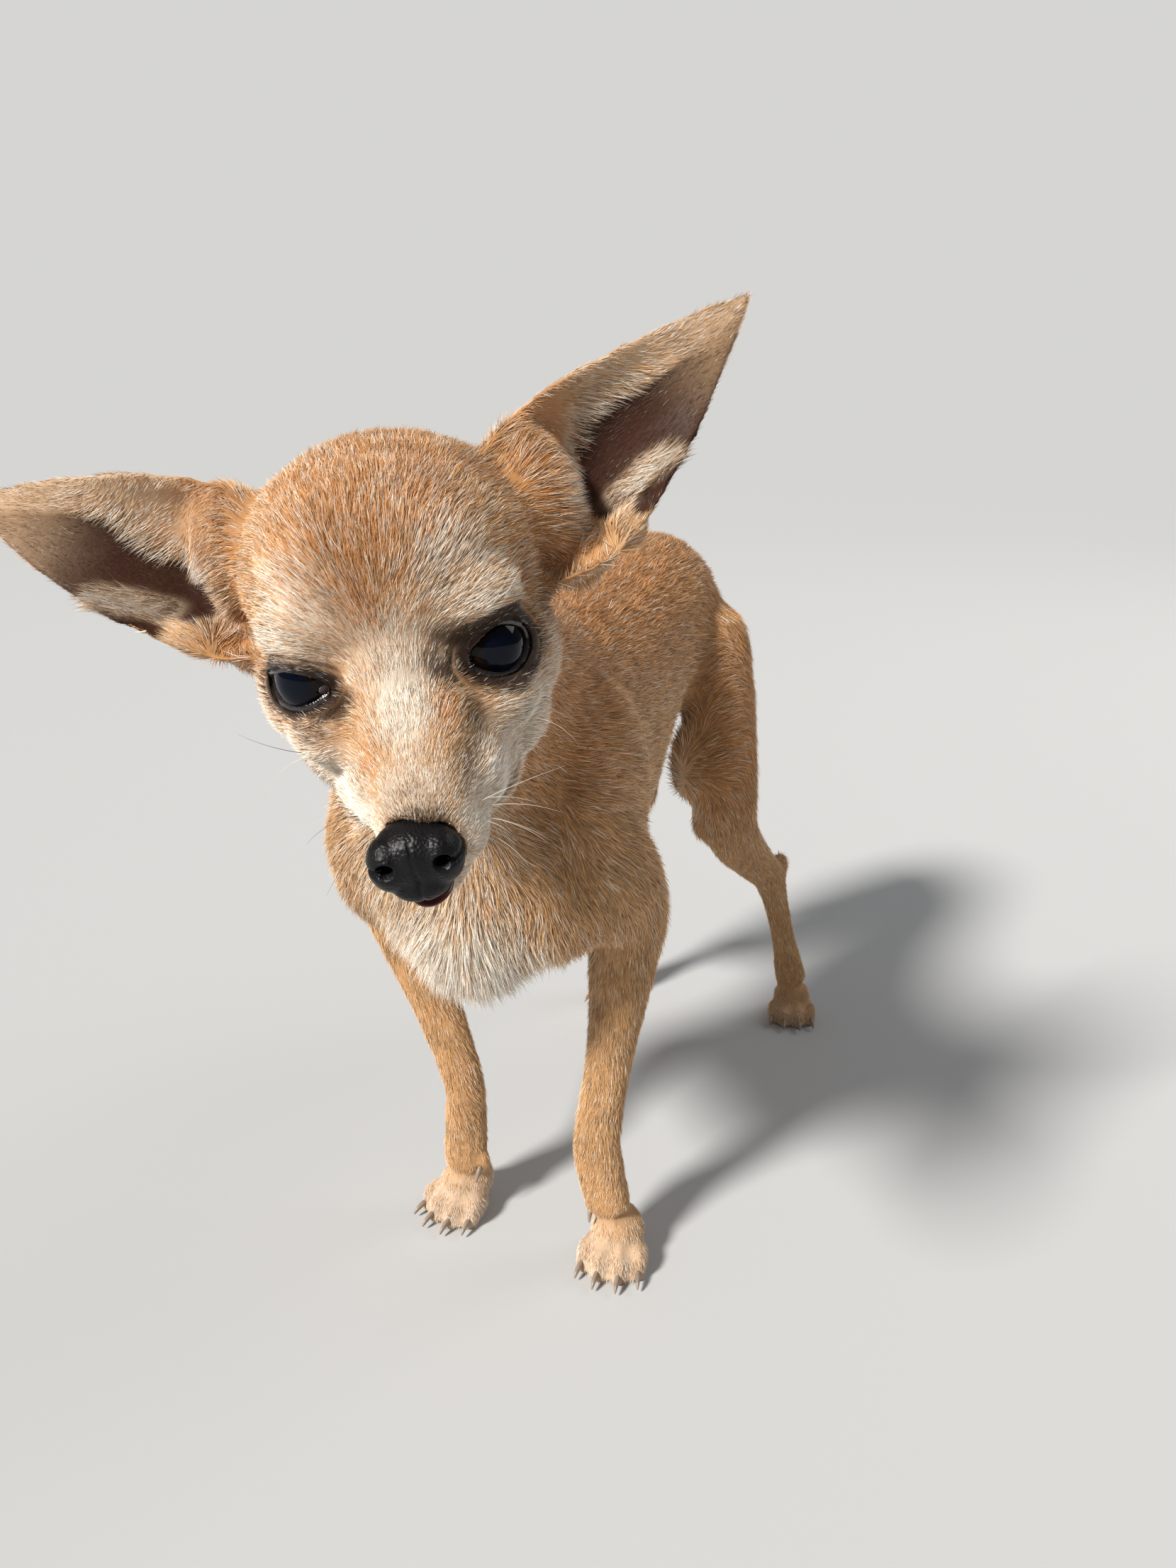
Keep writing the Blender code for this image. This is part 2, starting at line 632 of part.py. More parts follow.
def make_flesh(head):
    """The dog's whole skin as one closed mesh, smooth on the body and finer on the face, ears and feet."""
    bm = bmesh.new()
    add_trunk(bm)
    add_legs(bm)
    add_paws(bm)
    add_dewclaws(bm)
    add_head(bm, head)
    for name in SIDES:
        add_ear(bm, name, head)
    flesh = new_object("flesh", bm)
    remeshed(flesh, VOXEL)
    apply_modifiers(flesh)
    points = vertex_points(flesh)
    region = region_of(points, head)
    trunk = np.clip((points[:, 2] - TRUNK_BOTTOM) / TRUNK_BLEND, 0, 1) * (region == 0)
    smoothed(flesh, TRUNK_SMOOTHING, weigh(flesh, "trunk", trunk))
    smoothed(flesh, LEG_SMOOTHING, weigh(flesh, "legs", (region == 0).astype(float)))
    smoothed(flesh, HEAD_SMOOTHING, weigh(flesh, "head", (region == 3).astype(float)))
    smoothed(flesh, FINE_SMOOTHING)
    apply_modifiers(flesh)
    flesh.vertex_groups.clear()
    thinned_by_region(flesh, head)
    triangulated(flesh)
    return flesh


def cut_at_floor(obj):
    """Trims what lies under the floor and closes each foot with a flat."""
    bm = bmesh.new()
    bm.from_mesh(obj.data)
    cut = bmesh.ops.bisect_plane(
        bm, geom=bm.verts[:] + bm.edges[:] + bm.faces[:], plane_co=(0, 0, 0), plane_no=(0, 0, 1), clear_inner=True
    )
    edges = [piece for piece in cut["geom_cut"] if isinstance(piece, bmesh.types.BMEdge)]
    bmesh.ops.edgeloop_fill(bm, edges=edges)
    bmesh.ops.triangulate(bm, faces=bm.faces)
    bm.to_mesh(obj.data)
    bm.free()


def blade(centre, normal, half_width, half_height, place=Matrix.Identity(4)):
    """A thin flat blade, as thick as the gap; its height runs as nearly upward as its normal allows."""
    turn = Vector(normal).normalized().to_track_quat("Z", "Y").to_matrix().to_4x4()
    size = Matrix.Diagonal((2 * half_width, 2 * half_height, GAP, 1))
    bm = bmesh.new()
    bmesh.ops.create_cube(bm, size=1, matrix=place @ Matrix.Translation(centre) @ turn @ size)
    return new_object("blade", bm)


def grown(obj, by=GAP):
    """A cutter: a copy of a piece, larger by the gap on every side."""
    bm = bmesh.new()
    bm.from_mesh(obj.data)
    bmesh.ops.recalc_face_normals(bm, faces=bm.faces)
    bm.normal_update()
    moves = [vert.normal * by * vert.calc_shell_factor() for vert in bm.verts]
    for vert, move in zip(bm.verts, moves):
        vert.co += move
    return new_object(obj.name + "_cutter", bm)


def boolean(obj, cutters, operation="DIFFERENCE"):
    """Cuts the given objects from obj, or joins them to it, and removes them."""
    group = bpy.data.collections.new("cutters")
    for cutter in cutters:
        group.objects.link(cutter)
    modifier = obj.modifiers.new("cut", "BOOLEAN")
    modifier.operation = operation
    modifier.operand_type = "COLLECTION"
    modifier.collection = group
    modifier.solver = "EXACT"
    apply_modifiers(obj)
    for cutter in cutters:
        bpy.data.objects.remove(cutter, do_unlink=True)
    bpy.data.collections.remove(group)


def make_eye(name, side, head, finish):
    """An eyeball: a sphere with the cornea's slight bulge in front."""
    bm = bmesh.new()
    bmesh.ops.create_uvsphere(bm, u_segments=EYE_SIDES, v_segments=EYE_RINGS, radius=EYE_RADIUS)
    for vert in bm.verts:
        height = vert.co.z / EYE_RADIUS
        vert.co.z += CORNEA_BULGE * max(0.0, height - CORNEA_BEGINS) / (1 - CORNEA_BEGINS)
    frame = head @ eye_frame(side)
    bmesh.ops.transform(bm, matrix=frame, verts=bm.verts)
    bmesh.ops.recalc_face_normals(bm, faces=bm.faces)
    return new_object(name, bm, finish)


def eye_frame(side):
    """An eye's frame in the head's: +Z looks out through the lids, +X runs out to its outer corner."""
    look = Vector((math.sin(EYE_TURN) * side, -math.cos(EYE_TURN), math.sin(EYE_LIFT))).normalized()
    outward = Vector((math.cos(EYE_TURN) * side, math.sin(EYE_TURN), 0))
    up = look.cross(outward) * side
    frame = Matrix((outward, up, look)).transposed().to_4x4()
    return Matrix.Translation(mirrored(EYE_CENTRE, side)) @ frame


def lid_opening(name, head):
    """A cutter shaped as the opening between the lids: an almond run outwards from inside the eyeball."""
    shift, half_width, upper, lower = LIDS[name]
    bm = bmesh.new()
    verts = []
    for i in range(LID_POINTS):
        angle = 2 * math.pi * i / LID_POINTS
        x = half_width * math.cos(angle) + shift
        reach = upper if math.sin(angle) > 0 else lower
        y = reach * math.sin(angle) * (1 - LID_POINTEDNESS * abs(math.cos(angle)))
        turned = Vector((x, y, 0)) @ Matrix.Rotation(-LID_TILT, 3, "Z")
        verts.append(bm.verts.new((turned.x, turned.y, EYE_RADIUS * LID_CUT_FROM)))
    face = bm.faces.new(verts)
    raised = bmesh.ops.extrude_face_region(bm, geom=[face])
    tops = [piece for piece in raised["geom"] if isinstance(piece, bmesh.types.BMVert)]
    bmesh.ops.translate(bm, vec=(0, 0, EYE_RADIUS * LID_CUT_DEPTH), verts=tops)
    bmesh.ops.scale(bm, vec=(LID_FLARE, LID_FLARE, 1), verts=tops)
    bmesh.ops.transform(bm, matrix=head @ eye_frame(SIDES[name]), verts=bm.verts)
    bmesh.ops.recalc_face_normals(bm, faces=bm.faces)
    return new_object("lid_opening", bm)


def make_nose(head, finish):
    """The nose leather, with its nostrils and the groove below them. Returns the cutter for its seat in the muzzle."""
    bm = bmesh.new()
    place = head @ Matrix.Translation(NOSE_CENTRE)
    for centre, radii in NOSE_LUMPS:
        lump(bm, centre, radii, place)
    nose = new_object("nose", bm)
    remeshed(nose, NOSE_VOXEL)
    smoothed(nose, NOSE_SMOOTHING)
    apply_modifiers(nose)
    thinned(nose, NOSE_TRIANGLES)
    socket = grown(nose)
    hollows = [(mirrored(centre, side), radii, turn * side) for centre, radii, turn in NOSTRILS for side in SIDES.values()]
    hollows.append((*PHILTRUM, 0.0))
    cutters = []
    for centre, radii, turn in hollows:
        bm = bmesh.new()
        lump(bm, centre, radii, place, turn=(0, turn, NOSTRIL_SWEEP * turn), detail=1)
        cutters.append(new_object("hollow", bm))
    boolean(nose, cutters)
    nose.data.materials.append(finish)
    return socket


def make_tongue(head, finish):
    """The tip of the tongue between the lips."""
    bm = bmesh.new()
    lump(bm, TONGUE_CENTRE, TONGUE_RADII, head, turn=(TONGUE_TILT, 0, 0), detail=2)
    return new_object("tongue", bm, finish)


def mouth_cutter(head):
    """A thin folded sheet that follows the line of the mouth and parts the lower jaw."""
    bm = bmesh.new()
    rows = [bm.verts.new((-MOUTH_HALF_WIDTH, y, z)) for y, z in MOUTH_LINE]
    edges = [bm.edges.new(pair) for pair in zip(rows, rows[1:])]
    swept = bmesh.ops.extrude_edge_only(bm, edges=edges)
    moved = [piece for piece in swept["geom"] if isinstance(piece, bmesh.types.BMVert)]
    bmesh.ops.translate(bm, vec=(2 * MOUTH_HALF_WIDTH, 0, 0), verts=moved)
    bmesh.ops.solidify(bm, geom=bm.faces[:], thickness=MOUTH_GAP)
    bmesh.ops.transform(bm, matrix=head, verts=bm.verts)
    bmesh.ops.recalc_face_normals(bm, faces=bm.faces)
    return new_object("mouth_line", bm)


def make_claw(name, frame, finish):
    """A tapered, slightly hooked claw along -Y of its frame, rooted in the toe."""
    stations = [
        (0, share * CLAW_LENGTH, rise, across * CLAW_RADIUS, up * CLAW_RADIUS) for share, rise, across, up in CLAW_STATIONS
    ]
    bm = bmesh.new()
    loft(bm, stations, per_span=1, sides=CLAW_SIDES, place=frame)
    bmesh.ops.recalc_face_normals(bm, faces=bm.faces)
    bmesh.ops.triangulate(bm, faces=bm.faces)
    return new_object(name, bm, finish)


def make_claws(finish):
    """A claw on every toe, and on the forelegs' dewclaws."""
    claws = []
    for name in PAWS:
        frame = paw_frame(name)
        for number, (across, reach, fan) in enumerate(toe_places(), 1):
            spot = frame @ Matrix.Translation((across * PAD_SPREAD + CLAW_OUT * fan, reach - CLAW_AHEAD, CLAW_HEIGHT))
            spot = spot @ Matrix.Rotation(CLAW_FAN * fan, 4, "Z") @ Matrix.Rotation(CLAW_RAKE, 4, "X")
            claws.append(make_claw(f"claw_{name}_{number}", spot, finish))
    for name, side in SIDES.items():
        spot = dewclaw_frame(f"forepaw_{name}", side) @ Matrix.Translation(DEWCLAW_ROOT)
        spot = spot @ Matrix.Rotation(DEWCLAW_RAKE, 4, "X")
        claws.append(make_claw(f"claw_forepaw_{name}_dew", spot, finish))
    return claws


# Thin cuts that part the skin: centre, normal, half width and half height of each blade
CUTS = [
    ((0.0, -0.018, 0.208), (0, -0.68, 0.73), 0.060, 0.062),
    ((0.0160, -0.0690, 0.2385), (0.214, -0.826, 0.52), 0.040, 0.050),
    ((0.0, 0.2060, 0.2195), (0, 0.85, -0.5), 0.014, 0.014),
    ((0.0425, -0.001, 0.0345), (0.1, 0, 1), 0.015, 0.015),
    ((-0.0190, 0.003, 0.0345), (0, 0, 1), 0.015, 0.015),
    ((0.0400, 0.152, 0.1240), (0.1, 0.50, -0.86), 0.026, 0.034),
    ((-0.0335, 0.144, 0.1240), (0.05, 0.50, -0.86), 0.025, 0.034),
    ((0.0640, 0.207, 0.0340), (0.1, 0, 1), 0.015, 0.015),
    ((-0.0250, 0.190, 0.0340), (0, 0, 1), 0.015, 0.015),
]
# The same for the cuts at the shoulder and hip, given for the left side
LIMB_CUTS = [
    ((0.0430, -0.004, 0.1420), (0.78, 0.0, -0.62), 0.056, 0.044),
    ((0.0320, 0.1595, 0.1880), (0.76, 0.42, -0.50), 0.054, 0.060),
]
# Where to look for the middle of each part once the skin has been parted
SPOTS = {
    "torso": (0.0, 0.07, 0.18),
    "neck": (0.006, -0.04, 0.22),
    "tail": (-0.010, 0.221, 0.160),
    "foreleg_left": (0.043, 0.005, 0.09),
    "foreleg_right": (-0.032, 0.008, 0.09),
    "thigh_left": (0.036, 0.156, 0.160),
    "thigh_right": (-0.033, 0.150, 0.160),
    "shank_left": (0.052, 0.190, 0.080),
    "shank_right": (-0.028, 0.178, 0.080),
    "forepaw_left": (0.045, -0.003, 0.015),
    "forepaw_right": (-0.020, 0.002, 0.015),
    "hindpaw_left": (0.066, 0.203, 0.015),
    "hindpaw_right": (-0.025, 0.186, 0.015),
}
HEAD_SPOTS = {"head": (0.0, 0.025, 0.010), "jaw": (0.0, -0.016, -0.038)}
EAR_CUT_SHARE = 0.10
EAR_CUT_REACH = 0.030
SCRAP_FACES = 40


def blades(head):
    """All the thin flat cuts, the ears' among them."""
    cuts = [blade(*cut) for cut in CUTS]
    for name, side in SIDES.items():
        for centre, normal, *sizes in LIMB_CUTS:
            cuts.append(blade(mirrored(centre, side), mirrored(normal, side), *sizes))
        along = ear_axes(name)[0]
        centre = EAR_BASE[name] + EAR_AXIS[name] * EAR_CUT_SHARE
        cuts.append(blade(centre, along, EAR_CUT_REACH, EAR_CUT_REACH, head))
    return cuts


def part_names(head):
    """Each part's name and the place of its middle."""
    spots = {name: Vector(spot) for name, spot in SPOTS.items()}
    for name, spot in HEAD_SPOTS.items():
        spots[name] = head @ Vector(spot)
    for name in SIDES:
        spots[f"ear_{name}"] = head @ ear_point(name, 0.5, 0.0)
    return spots


def loose_pieces(obj):
    """The closed pieces of a mesh as lists of face numbers, without the small scraps that a cut can leave."""
    bm = bmesh.new()
    bm.from_mesh(obj.data)
    unseen = set(bm.faces)
    groups = []
    while unseen:
        front = [unseen.pop()]
        group = []
        while front:
            face = front.pop()
            group.append(face)
            for edge in face.edges:
                for near in edge.link_faces:
                    if near in unseen:
                        unseen.remove(near)
                        front.append(near)
        if len(group) > SCRAP_FACES:
            groups.append(sorted(face.index for face in group))
    bm.free()
    return sorted(groups)


def part_flesh(flesh, head, finishes):
    """Names each piece of the parted skin by the spot that its middle is nearest to."""
    spots = part_names(head)
    points = vertex_points(flesh)
    middles = []
    groups = loose_pieces(flesh)
    for group in groups:
        used = sorted({index for face in group for index in flesh.data.polygons[face].vertices})
        box = points[used]
        middles.append((box.min(0) + box.max(0)) / 2)
    made = {}
    for name, spot in spots.items():
        chosen = min(range(len(groups)), key=lambda i: np.linalg.norm(middles[i] - np.array(spot)))
        bm = bmesh.new()
        bm.from_mesh(flesh.data)
        bm.faces.ensure_lookup_table()
        keep = {bm.faces[i] for i in groups[chosen]}
        bmesh.ops.delete(bm, geom=[face for face in bm.faces if face not in keep], context="FACES")
        loose = [vert for vert in bm.verts if not vert.link_faces]
        bmesh.ops.delete(bm, geom=loose, context="VERTS")
        made[name] = new_object(name, bm, finishes["ear" if name.startswith("ear") else "coat"])
    bpy.data.objects.remove(flesh, do_unlink=True)
    return made


def centre_on_floor():
    """Moves every part alike, so that the origin lies on the floor under the middle of the whole dog."""
    parts = [obj for obj in bpy.data.objects if obj.type == "MESH"]
    corners = np.vstack([vertex_points(obj) for obj in parts])
    low, high = corners.min(0), corners.max(0)
    move = Matrix.Translation((-(low[0] + high[0]) / 2, -(low[1] + high[1]) / 2, 0))
    for obj in parts:
        obj.data.transform(move)
    return move


def main():
    """Builds the dog."""
    clear_scene()
    head = head_matrix()
    finishes = {
        "coat": material("coat", TAN, 0.85),
        "ear": material("ear", PALE_TAN, 0.85),
        "leather": material("nose_leather", BLACK_SKIN, 0.35),
        "eye": material("eye", BLACK_SKIN, 0.05),
        "tongue": material("tongue", TONGUE_PINK, 0.4),
        "horn": material("claw", HORN, 0.4),
    }
    flesh = make_flesh(head)
    cut_at_floor(flesh)
    eyes = [make_eye(f"eye_{name}", side, head, finishes["eye"]) for name, side in SIDES.items()]
    nose_seat = make_nose(head, finishes["leather"])
    tongue = make_tongue(head, finishes["tongue"])
    claws = make_claws(finishes["horn"])
    boolean(flesh, [nose_seat, *[grown(piece) for piece in (*eyes, tongue, *claws)]])
    boolean(flesh, [lid_opening(name, head) for name in SIDES])
    boolean(flesh, [*blades(head), mouth_cutter(head)])
    part_flesh(flesh, head, finishes)
    centre_on_floor()


main()
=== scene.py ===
"""The looks of a short-haired tan chihuahua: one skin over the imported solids, with its coat, eyes, nose, mouth,
claws and whiskers, on a plain pale floor.

Places on the body are in the dog's own frame, as in the part's source: metres, +Z up, facing -Y, with the origin
on the floor under the chest. Places on the head are in the head's frame: +X its left, +Y its back, +Z its crown.
"""

import logging
import math
from dataclasses import dataclass, field
from enum import Enum

import bmesh
import bpy
import numpy as np
from mathutils import Matrix, Vector
from mathutils.bvhtree import BVHTree


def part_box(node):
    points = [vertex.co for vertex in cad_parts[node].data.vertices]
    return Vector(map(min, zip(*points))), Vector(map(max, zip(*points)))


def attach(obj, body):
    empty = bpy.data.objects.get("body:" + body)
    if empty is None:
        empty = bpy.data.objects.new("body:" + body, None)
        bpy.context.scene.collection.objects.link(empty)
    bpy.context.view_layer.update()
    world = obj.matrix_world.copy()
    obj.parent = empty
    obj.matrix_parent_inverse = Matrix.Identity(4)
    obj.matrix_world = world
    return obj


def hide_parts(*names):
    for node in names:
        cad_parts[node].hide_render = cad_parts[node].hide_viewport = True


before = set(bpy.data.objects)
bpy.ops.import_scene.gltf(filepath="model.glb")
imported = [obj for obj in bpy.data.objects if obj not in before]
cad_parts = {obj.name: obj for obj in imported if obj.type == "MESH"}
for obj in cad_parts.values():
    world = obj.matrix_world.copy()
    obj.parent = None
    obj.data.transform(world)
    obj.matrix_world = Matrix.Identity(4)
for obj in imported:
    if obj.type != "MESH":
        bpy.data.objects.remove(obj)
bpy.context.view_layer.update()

LOG = logging.getLogger("chihuahua")
SEED = 11
MM = 0.001

HEAD_PLACE = Vector((0.0365, -0.1194, 0.2477))
HEAD_LEFT = Vector((0.8906, 0.4199, 0.1753))
HEAD_BACK = Vector((-0.4508, 0.8665, 0.2147))
EYE_CENTRE = Vector((0.0192, 0.0064, -0.0011))
EYE_RADIUS = 0.0096
EYE_TURN = math.radians(28)
EYE_LIFT = math.radians(3)
NOSE_CENTRE = Vector((-0.0003, -0.0405, -0.0234))
EAR_BASE = {"left": Vector((0.0421, 0.0313, 0.0222)), "right": Vector((-0.0360, 0.0285, 0.0170))}
EAR_AXIS = {"left": Vector((0.0544, 0.0253, 0.0313)), "right": Vector((-0.0617, 0.0205, 0.0246))}
EAR_FACE = {"left": Vector((0.34, -0.80, 0.48)), "right": Vector((-0.10, -0.88, 0.42))}
SIDES = {"left": 1, "right": -1}
MOUTH_LINE = ((-0.045, -0.0338), (-0.028, -0.0335), (-0.016, -0.0312), (-0.008, -0.0282), (-0.003, -0.0270))
FLESH = ("torso", "neck", "head", "jaw", "tail", "ear_left", "ear_right") + tuple(
    f"{part}_{side}" for part in ("foreleg", "forepaw", "thigh", "shank", "hindpaw") for side in SIDES
)


class Place(Enum):
    """The frame that a place is given in."""

    BODY = "body"
    HEAD = "head"
    EARS = "ears"


class Mark(Enum):
    """The markings that skin and coat share, each a channel of the same attribute."""

    PALE = 0
    DARK = 1
    RED = 2
    BARE = 3


def mirrored(point: Vector, side: int) -> Vector:
    """A point of the left side, or its twin on the right where side is -1."""
    return Vector((point[0] * side, point[1], point[2]))


def smoothstep(low: float, high: float, values: np.ndarray) -> np.ndarray:
    """Rises smoothly from 0 at low to 1 at high, or falls where high is the lower."""
    share = np.clip((values - low) / (high - low), 0.0, 1.0)
    return share * share * (3 - 2 * share)


def unit(vectors: np.ndarray) -> np.ndarray:
    """The rows scaled to length 1."""
    return vectors / np.maximum(np.linalg.norm(vectors, axis=1, keepdims=True), 1e-9)


def ripple(points: np.ndarray, wavelength: float, seed: int) -> np.ndarray:
    """A smooth random field between about -1 and 1.

    Args:
        points: Where it is read, one row each.
        wavelength: The size of its swells, in metres.
        seed: Which field of many.

    Returns:
        One value for each point.
    """
    rng = np.random.default_rng(seed)
    total = np.zeros(len(points))
    waves = 9
    for _ in range(waves):
        heading = rng.normal(size=3)
        heading *= 2 * math.pi / wavelength / np.linalg.norm(heading) * rng.uniform(0.6, 1.6)
        total += np.sin(points @ heading + rng.uniform(0, 2 * math.pi))
    return total / math.sqrt(waves)


@dataclass(frozen=True)
class Frames:
    """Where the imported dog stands, read from its eyes."""

    head: Matrix
    shift: Vector

    @classmethod
    def read(cls) -> "Frames":
        """Finds the head's frame, and the move from the dog's frame to the row's."""
        boxes = [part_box(f"eye_{name}") for name in SIDES]
        middle = sum((low + high for low, high in boxes), Vector()) / 4
        left = HEAD_LEFT.normalized()
        up = left.cross(HEAD_BACK).normalized()
        turn = Matrix((left, up.cross(left), up)).transposed()
        place = middle - turn @ Vector((0, EYE_CENTRE.y, EYE_CENTRE.z))
        return cls(Matrix.Translation(place) @ turn.to_4x4(), place - HEAD_PLACE)

    def matrix(self, place: Place) -> Matrix:
        """The frame that places of this kind are given in."""
        return Matrix.Translation(self.shift) if place is Place.BODY else self.head

    def local(self, points: np.ndarray, place: Place) -> np.ndarray:
        """Points of the row's frame, read in the given frame."""
        matrix = np.array(self.matrix(place))
        return (points - matrix[:3, 3]) @ matrix[:3, :3]

    def turned(self, vectors: np.ndarray, place: Place) -> np.ndarray:
        """Directions of the given frame, turned into the row's."""
        return vectors @ np.array(self.matrix(place))[:3, :3].T


def eye_frame(side: int) -> Matrix:
    """An eye's frame in the head's: +Z looks out between the lids, +X runs to the outer corner."""
    look = Vector((math.sin(EYE_TURN) * side, -math.cos(EYE_TURN), math.sin(EYE_LIFT))).normalized()
    outward = Vector((math.cos(EYE_TURN) * side, math.sin(EYE_TURN), 0))
    up = look.cross(outward) * side
    turn = Matrix((outward, up, look)).transposed().to_4x4()
    return Matrix.Translation(mirrored(EYE_CENTRE, side)) @ turn


@dataclass(frozen=True)
class LidLine:
    """The edge of the lids, an almond in the eye's frame."""

    outward: float
    half_width: float
    upper: float
    lower: float
    lower_rim: float
    dark_ring: float
    pointedness: float = 0.18
    wrap: float = 1.12
    skin_thickness: float = 0.0018

    def point(self, angle: float, swell: float = 0.0) -> Vector:
        """A point of the edge at this angle, moved outward from the opening by swell."""
        reach = self.upper if math.sin(angle) > 0 else self.lower
        x = self.half_width * math.cos(angle)
        y = reach * math.sin(angle) * (1 - self.pointedness * abs(math.cos(angle)))
        away = Vector((math.cos(angle), math.sin(angle)))
        return Vector((x + self.outward, y)) + away * swell

    def on_eye(self, angle: float, swell: float, height: float) -> Vector:
        """The same point laid on a sphere around the eye, this high over the eyeball."""
        flat = self.point(angle, swell)
        turn = self.wrap * flat.length / EYE_RADIUS
        radius = EYE_RADIUS + height
        side = flat.normalized() * math.sin(turn) * radius
        return Vector((side.x, side.y, math.cos(turn) * radius))

    def swell(self, local: np.ndarray) -> np.ndarray:
        """How far outside the lids' edge each point of the eye's frame lies, in metres; less than 0 in the opening."""
        aside = np.maximum(np.hypot(local[:, 0], local[:, 1]), 1e-9)
        flat = np.arctan2(aside, local[:, 2]) * EYE_RADIUS / self.wrap / aside
        x, y = local[:, 0] * flat - self.outward, local[:, 1] * flat
        across = np.hypot(x, y)
        height = np.where(y > 0, self.upper, self.lower)
        ratio = np.hypot(x / self.half_width, y / height)
        over = np.linalg.norm(local, axis=1) - EYE_RADIUS - self.skin_thickness
        return across - across / np.maximum(ratio, 0.05) + np.maximum(over, 0)


LIDS = {
    1: LidLine(0.0004, 0.0078, 0.0054, 0.0046, 1.7, 0.0058),
    -1: LidLine(0.0008, 0.0086, 0.0038, 0.0037, 2.1, 0.0041),
}


def eye_local(local: np.ndarray, side: int) -> np.ndarray:
    """Points of the head's frame, read in an eye's."""
    matrix = np.array(eye_frame(side))
    return (local - matrix[:3, 3]) @ matrix[:3, :3]


def ear_local(local: np.ndarray, name: str) -> np.ndarray:
    """Points of the head's frame as an ear's own: share of its length, metres across, metres towards its face."""
    axis, face = EAR_AXIS[name], EAR_FACE[name]
    along = axis.normalized()
    face = (face - along * face.dot(along)).normalized()
    across = along.cross(face) * SIDES[name]
    offset = local - np.array(EAR_BASE[name])
    return np.column_stack([offset @ np.array(along) / axis.length, offset @ np.array(across), offset @ np.array(face)])


def mouth_height(local: np.ndarray) -> np.ndarray:
    """How far over the line of the mouth each point of the head's frame lies."""
    line_y, line_z = np.array(MOUTH_LINE).T
    return local[:, 2] - np.interp(local[:, 1], line_y, line_z)


@dataclass(frozen=True)
class EarPattern:
    """Where the markings of an ear's face lie, by share of its length and metres across it."""

    border: tuple[tuple[float, float], ...]
    tuft: tuple[tuple[float, float], ...]
    pocket: tuple[float, float]


EAR_PATTERNS = {
    "left": EarPattern(
        ((0.0, 0.0022), (0.157, -0.0026), (0.254, -0.0083), (0.36, -0.0072), (0.53, -0.0026), (0.68, 0.0), (1.0, 0.005)),
        ((0.14, 0.0115), (0.31, 0.0112), (0.38, 0.0125)),
        (0.21, 0.0165),
    ),
    "right": EarPattern(
        ((0.09, 0.0015), (0.26, -0.0010), (0.36, -0.0026), (0.44, -0.0068), (0.59, -0.0041), (0.73, -0.0016), (1.0, 0.003)),
        ((0.20, 0.0122), (0.36, 0.0126), (0.45, 0.0135)),
        (0.26, 0.0178),
    ),
}


@dataclass
class EarView:
    """An ear as the coat sees it: how surely each point belongs to it, where it lies, and the ear's zones."""

    mask: np.ndarray
    share: np.ndarray
    facing: np.ndarray
    inside: np.ndarray
    band: np.ndarray
    fringe: np.ndarray
    tuft: np.ndarray
    hollow: np.ndarray
    pocket: np.ndarray

    @classmethod
    def read(cls, frames: Frames, points: np.ndarray, normals: np.ndarray, name: str) -> "EarView":
        """Reads one ear's zones at points of the row's frame."""
        local = frames.local(points, Place.HEAD)
        share, across, towards = ear_local(local, name).T
        sideways = smoothstep(0.032, 0.027, np.abs(across)) * smoothstep(0.032, 0.027, np.abs(towards))
        along = smoothstep(0.0, 0.14, share) * (share < 1.3)
        mask = along * sideways * smoothstep(0.030, 0.036, local[:, 0] * SIDES[name])
        facing = normals @ np.array(frames.head)[:3, :3] @ np.array(EAR_FACE[name].normalized())
        inside = smoothstep(-0.12, 0.12, facing)
        pattern = EAR_PATTERNS[name]
        border = np.interp(share, *np.array(pattern.border).T)
        tuft_share, tuft_across = np.array(pattern.tuft).T
        band = smoothstep(border + 0.0012, border - 0.0012, across)
        fringe = inside * np.exp(-(((across - border + 0.0015) / 0.0030) ** 2)) * smoothstep(0.65, 0.40, share)
        tuft = inside * np.exp(-(((across - np.interp(share, tuft_share, tuft_across)) / 0.0034) ** 4))
        tuft *= smoothstep(tuft_share[0] - 0.05, tuft_share[0] + 0.04, share)
        tuft *= smoothstep(tuft_share[-1] + 0.06, tuft_share[-1] - 0.04, share)
        length = EAR_AXIS[name].length
        # The pocket: a recess that the skin sinks into and that is painted dark, as painted shade.
        aside = np.hypot((share - pattern.pocket[0]) * length / 0.0045, (across - pattern.pocket[1]) / 0.0024)
        pocket = smoothstep(1.3, 0.6, aside) * smoothstep(-0.35, -0.10, facing)
        hollow = inside * (1 - band) * (1 - tuft) * smoothstep(0.0145, 0.0125, across * (share < pattern.pocket[0]))
        return cls(mask, share, facing, inside, band, fringe, tuft, hollow, pocket)


@dataclass(frozen=True)
class Patch:
    """A soft-edged ellipsoid that carries a marking."""

    mark: Mark
    place: Place
    centre: tuple[float, float, float]
    radii: tuple[float, float, float]
    amount: float = 1.0
    softness: float = 0.35
    both: bool = False

    def weight(self, frames: Frames, points: np.ndarray) -> np.ndarray:
        """How strongly it shows at each point of the row's frame."""
        local = frames.local(points, self.place)
        found = np.zeros(len(points))
        for side in (1, -1) if self.both else (1,):
            middle = np.array(self.centre) * (side, 1, 1)
            ratio = np.linalg.norm((local - middle) / np.array(self.radii), axis=1)
            found = np.maximum(found, smoothstep(1 + self.softness, 1 - self.softness, ratio))
        return found * self.amount


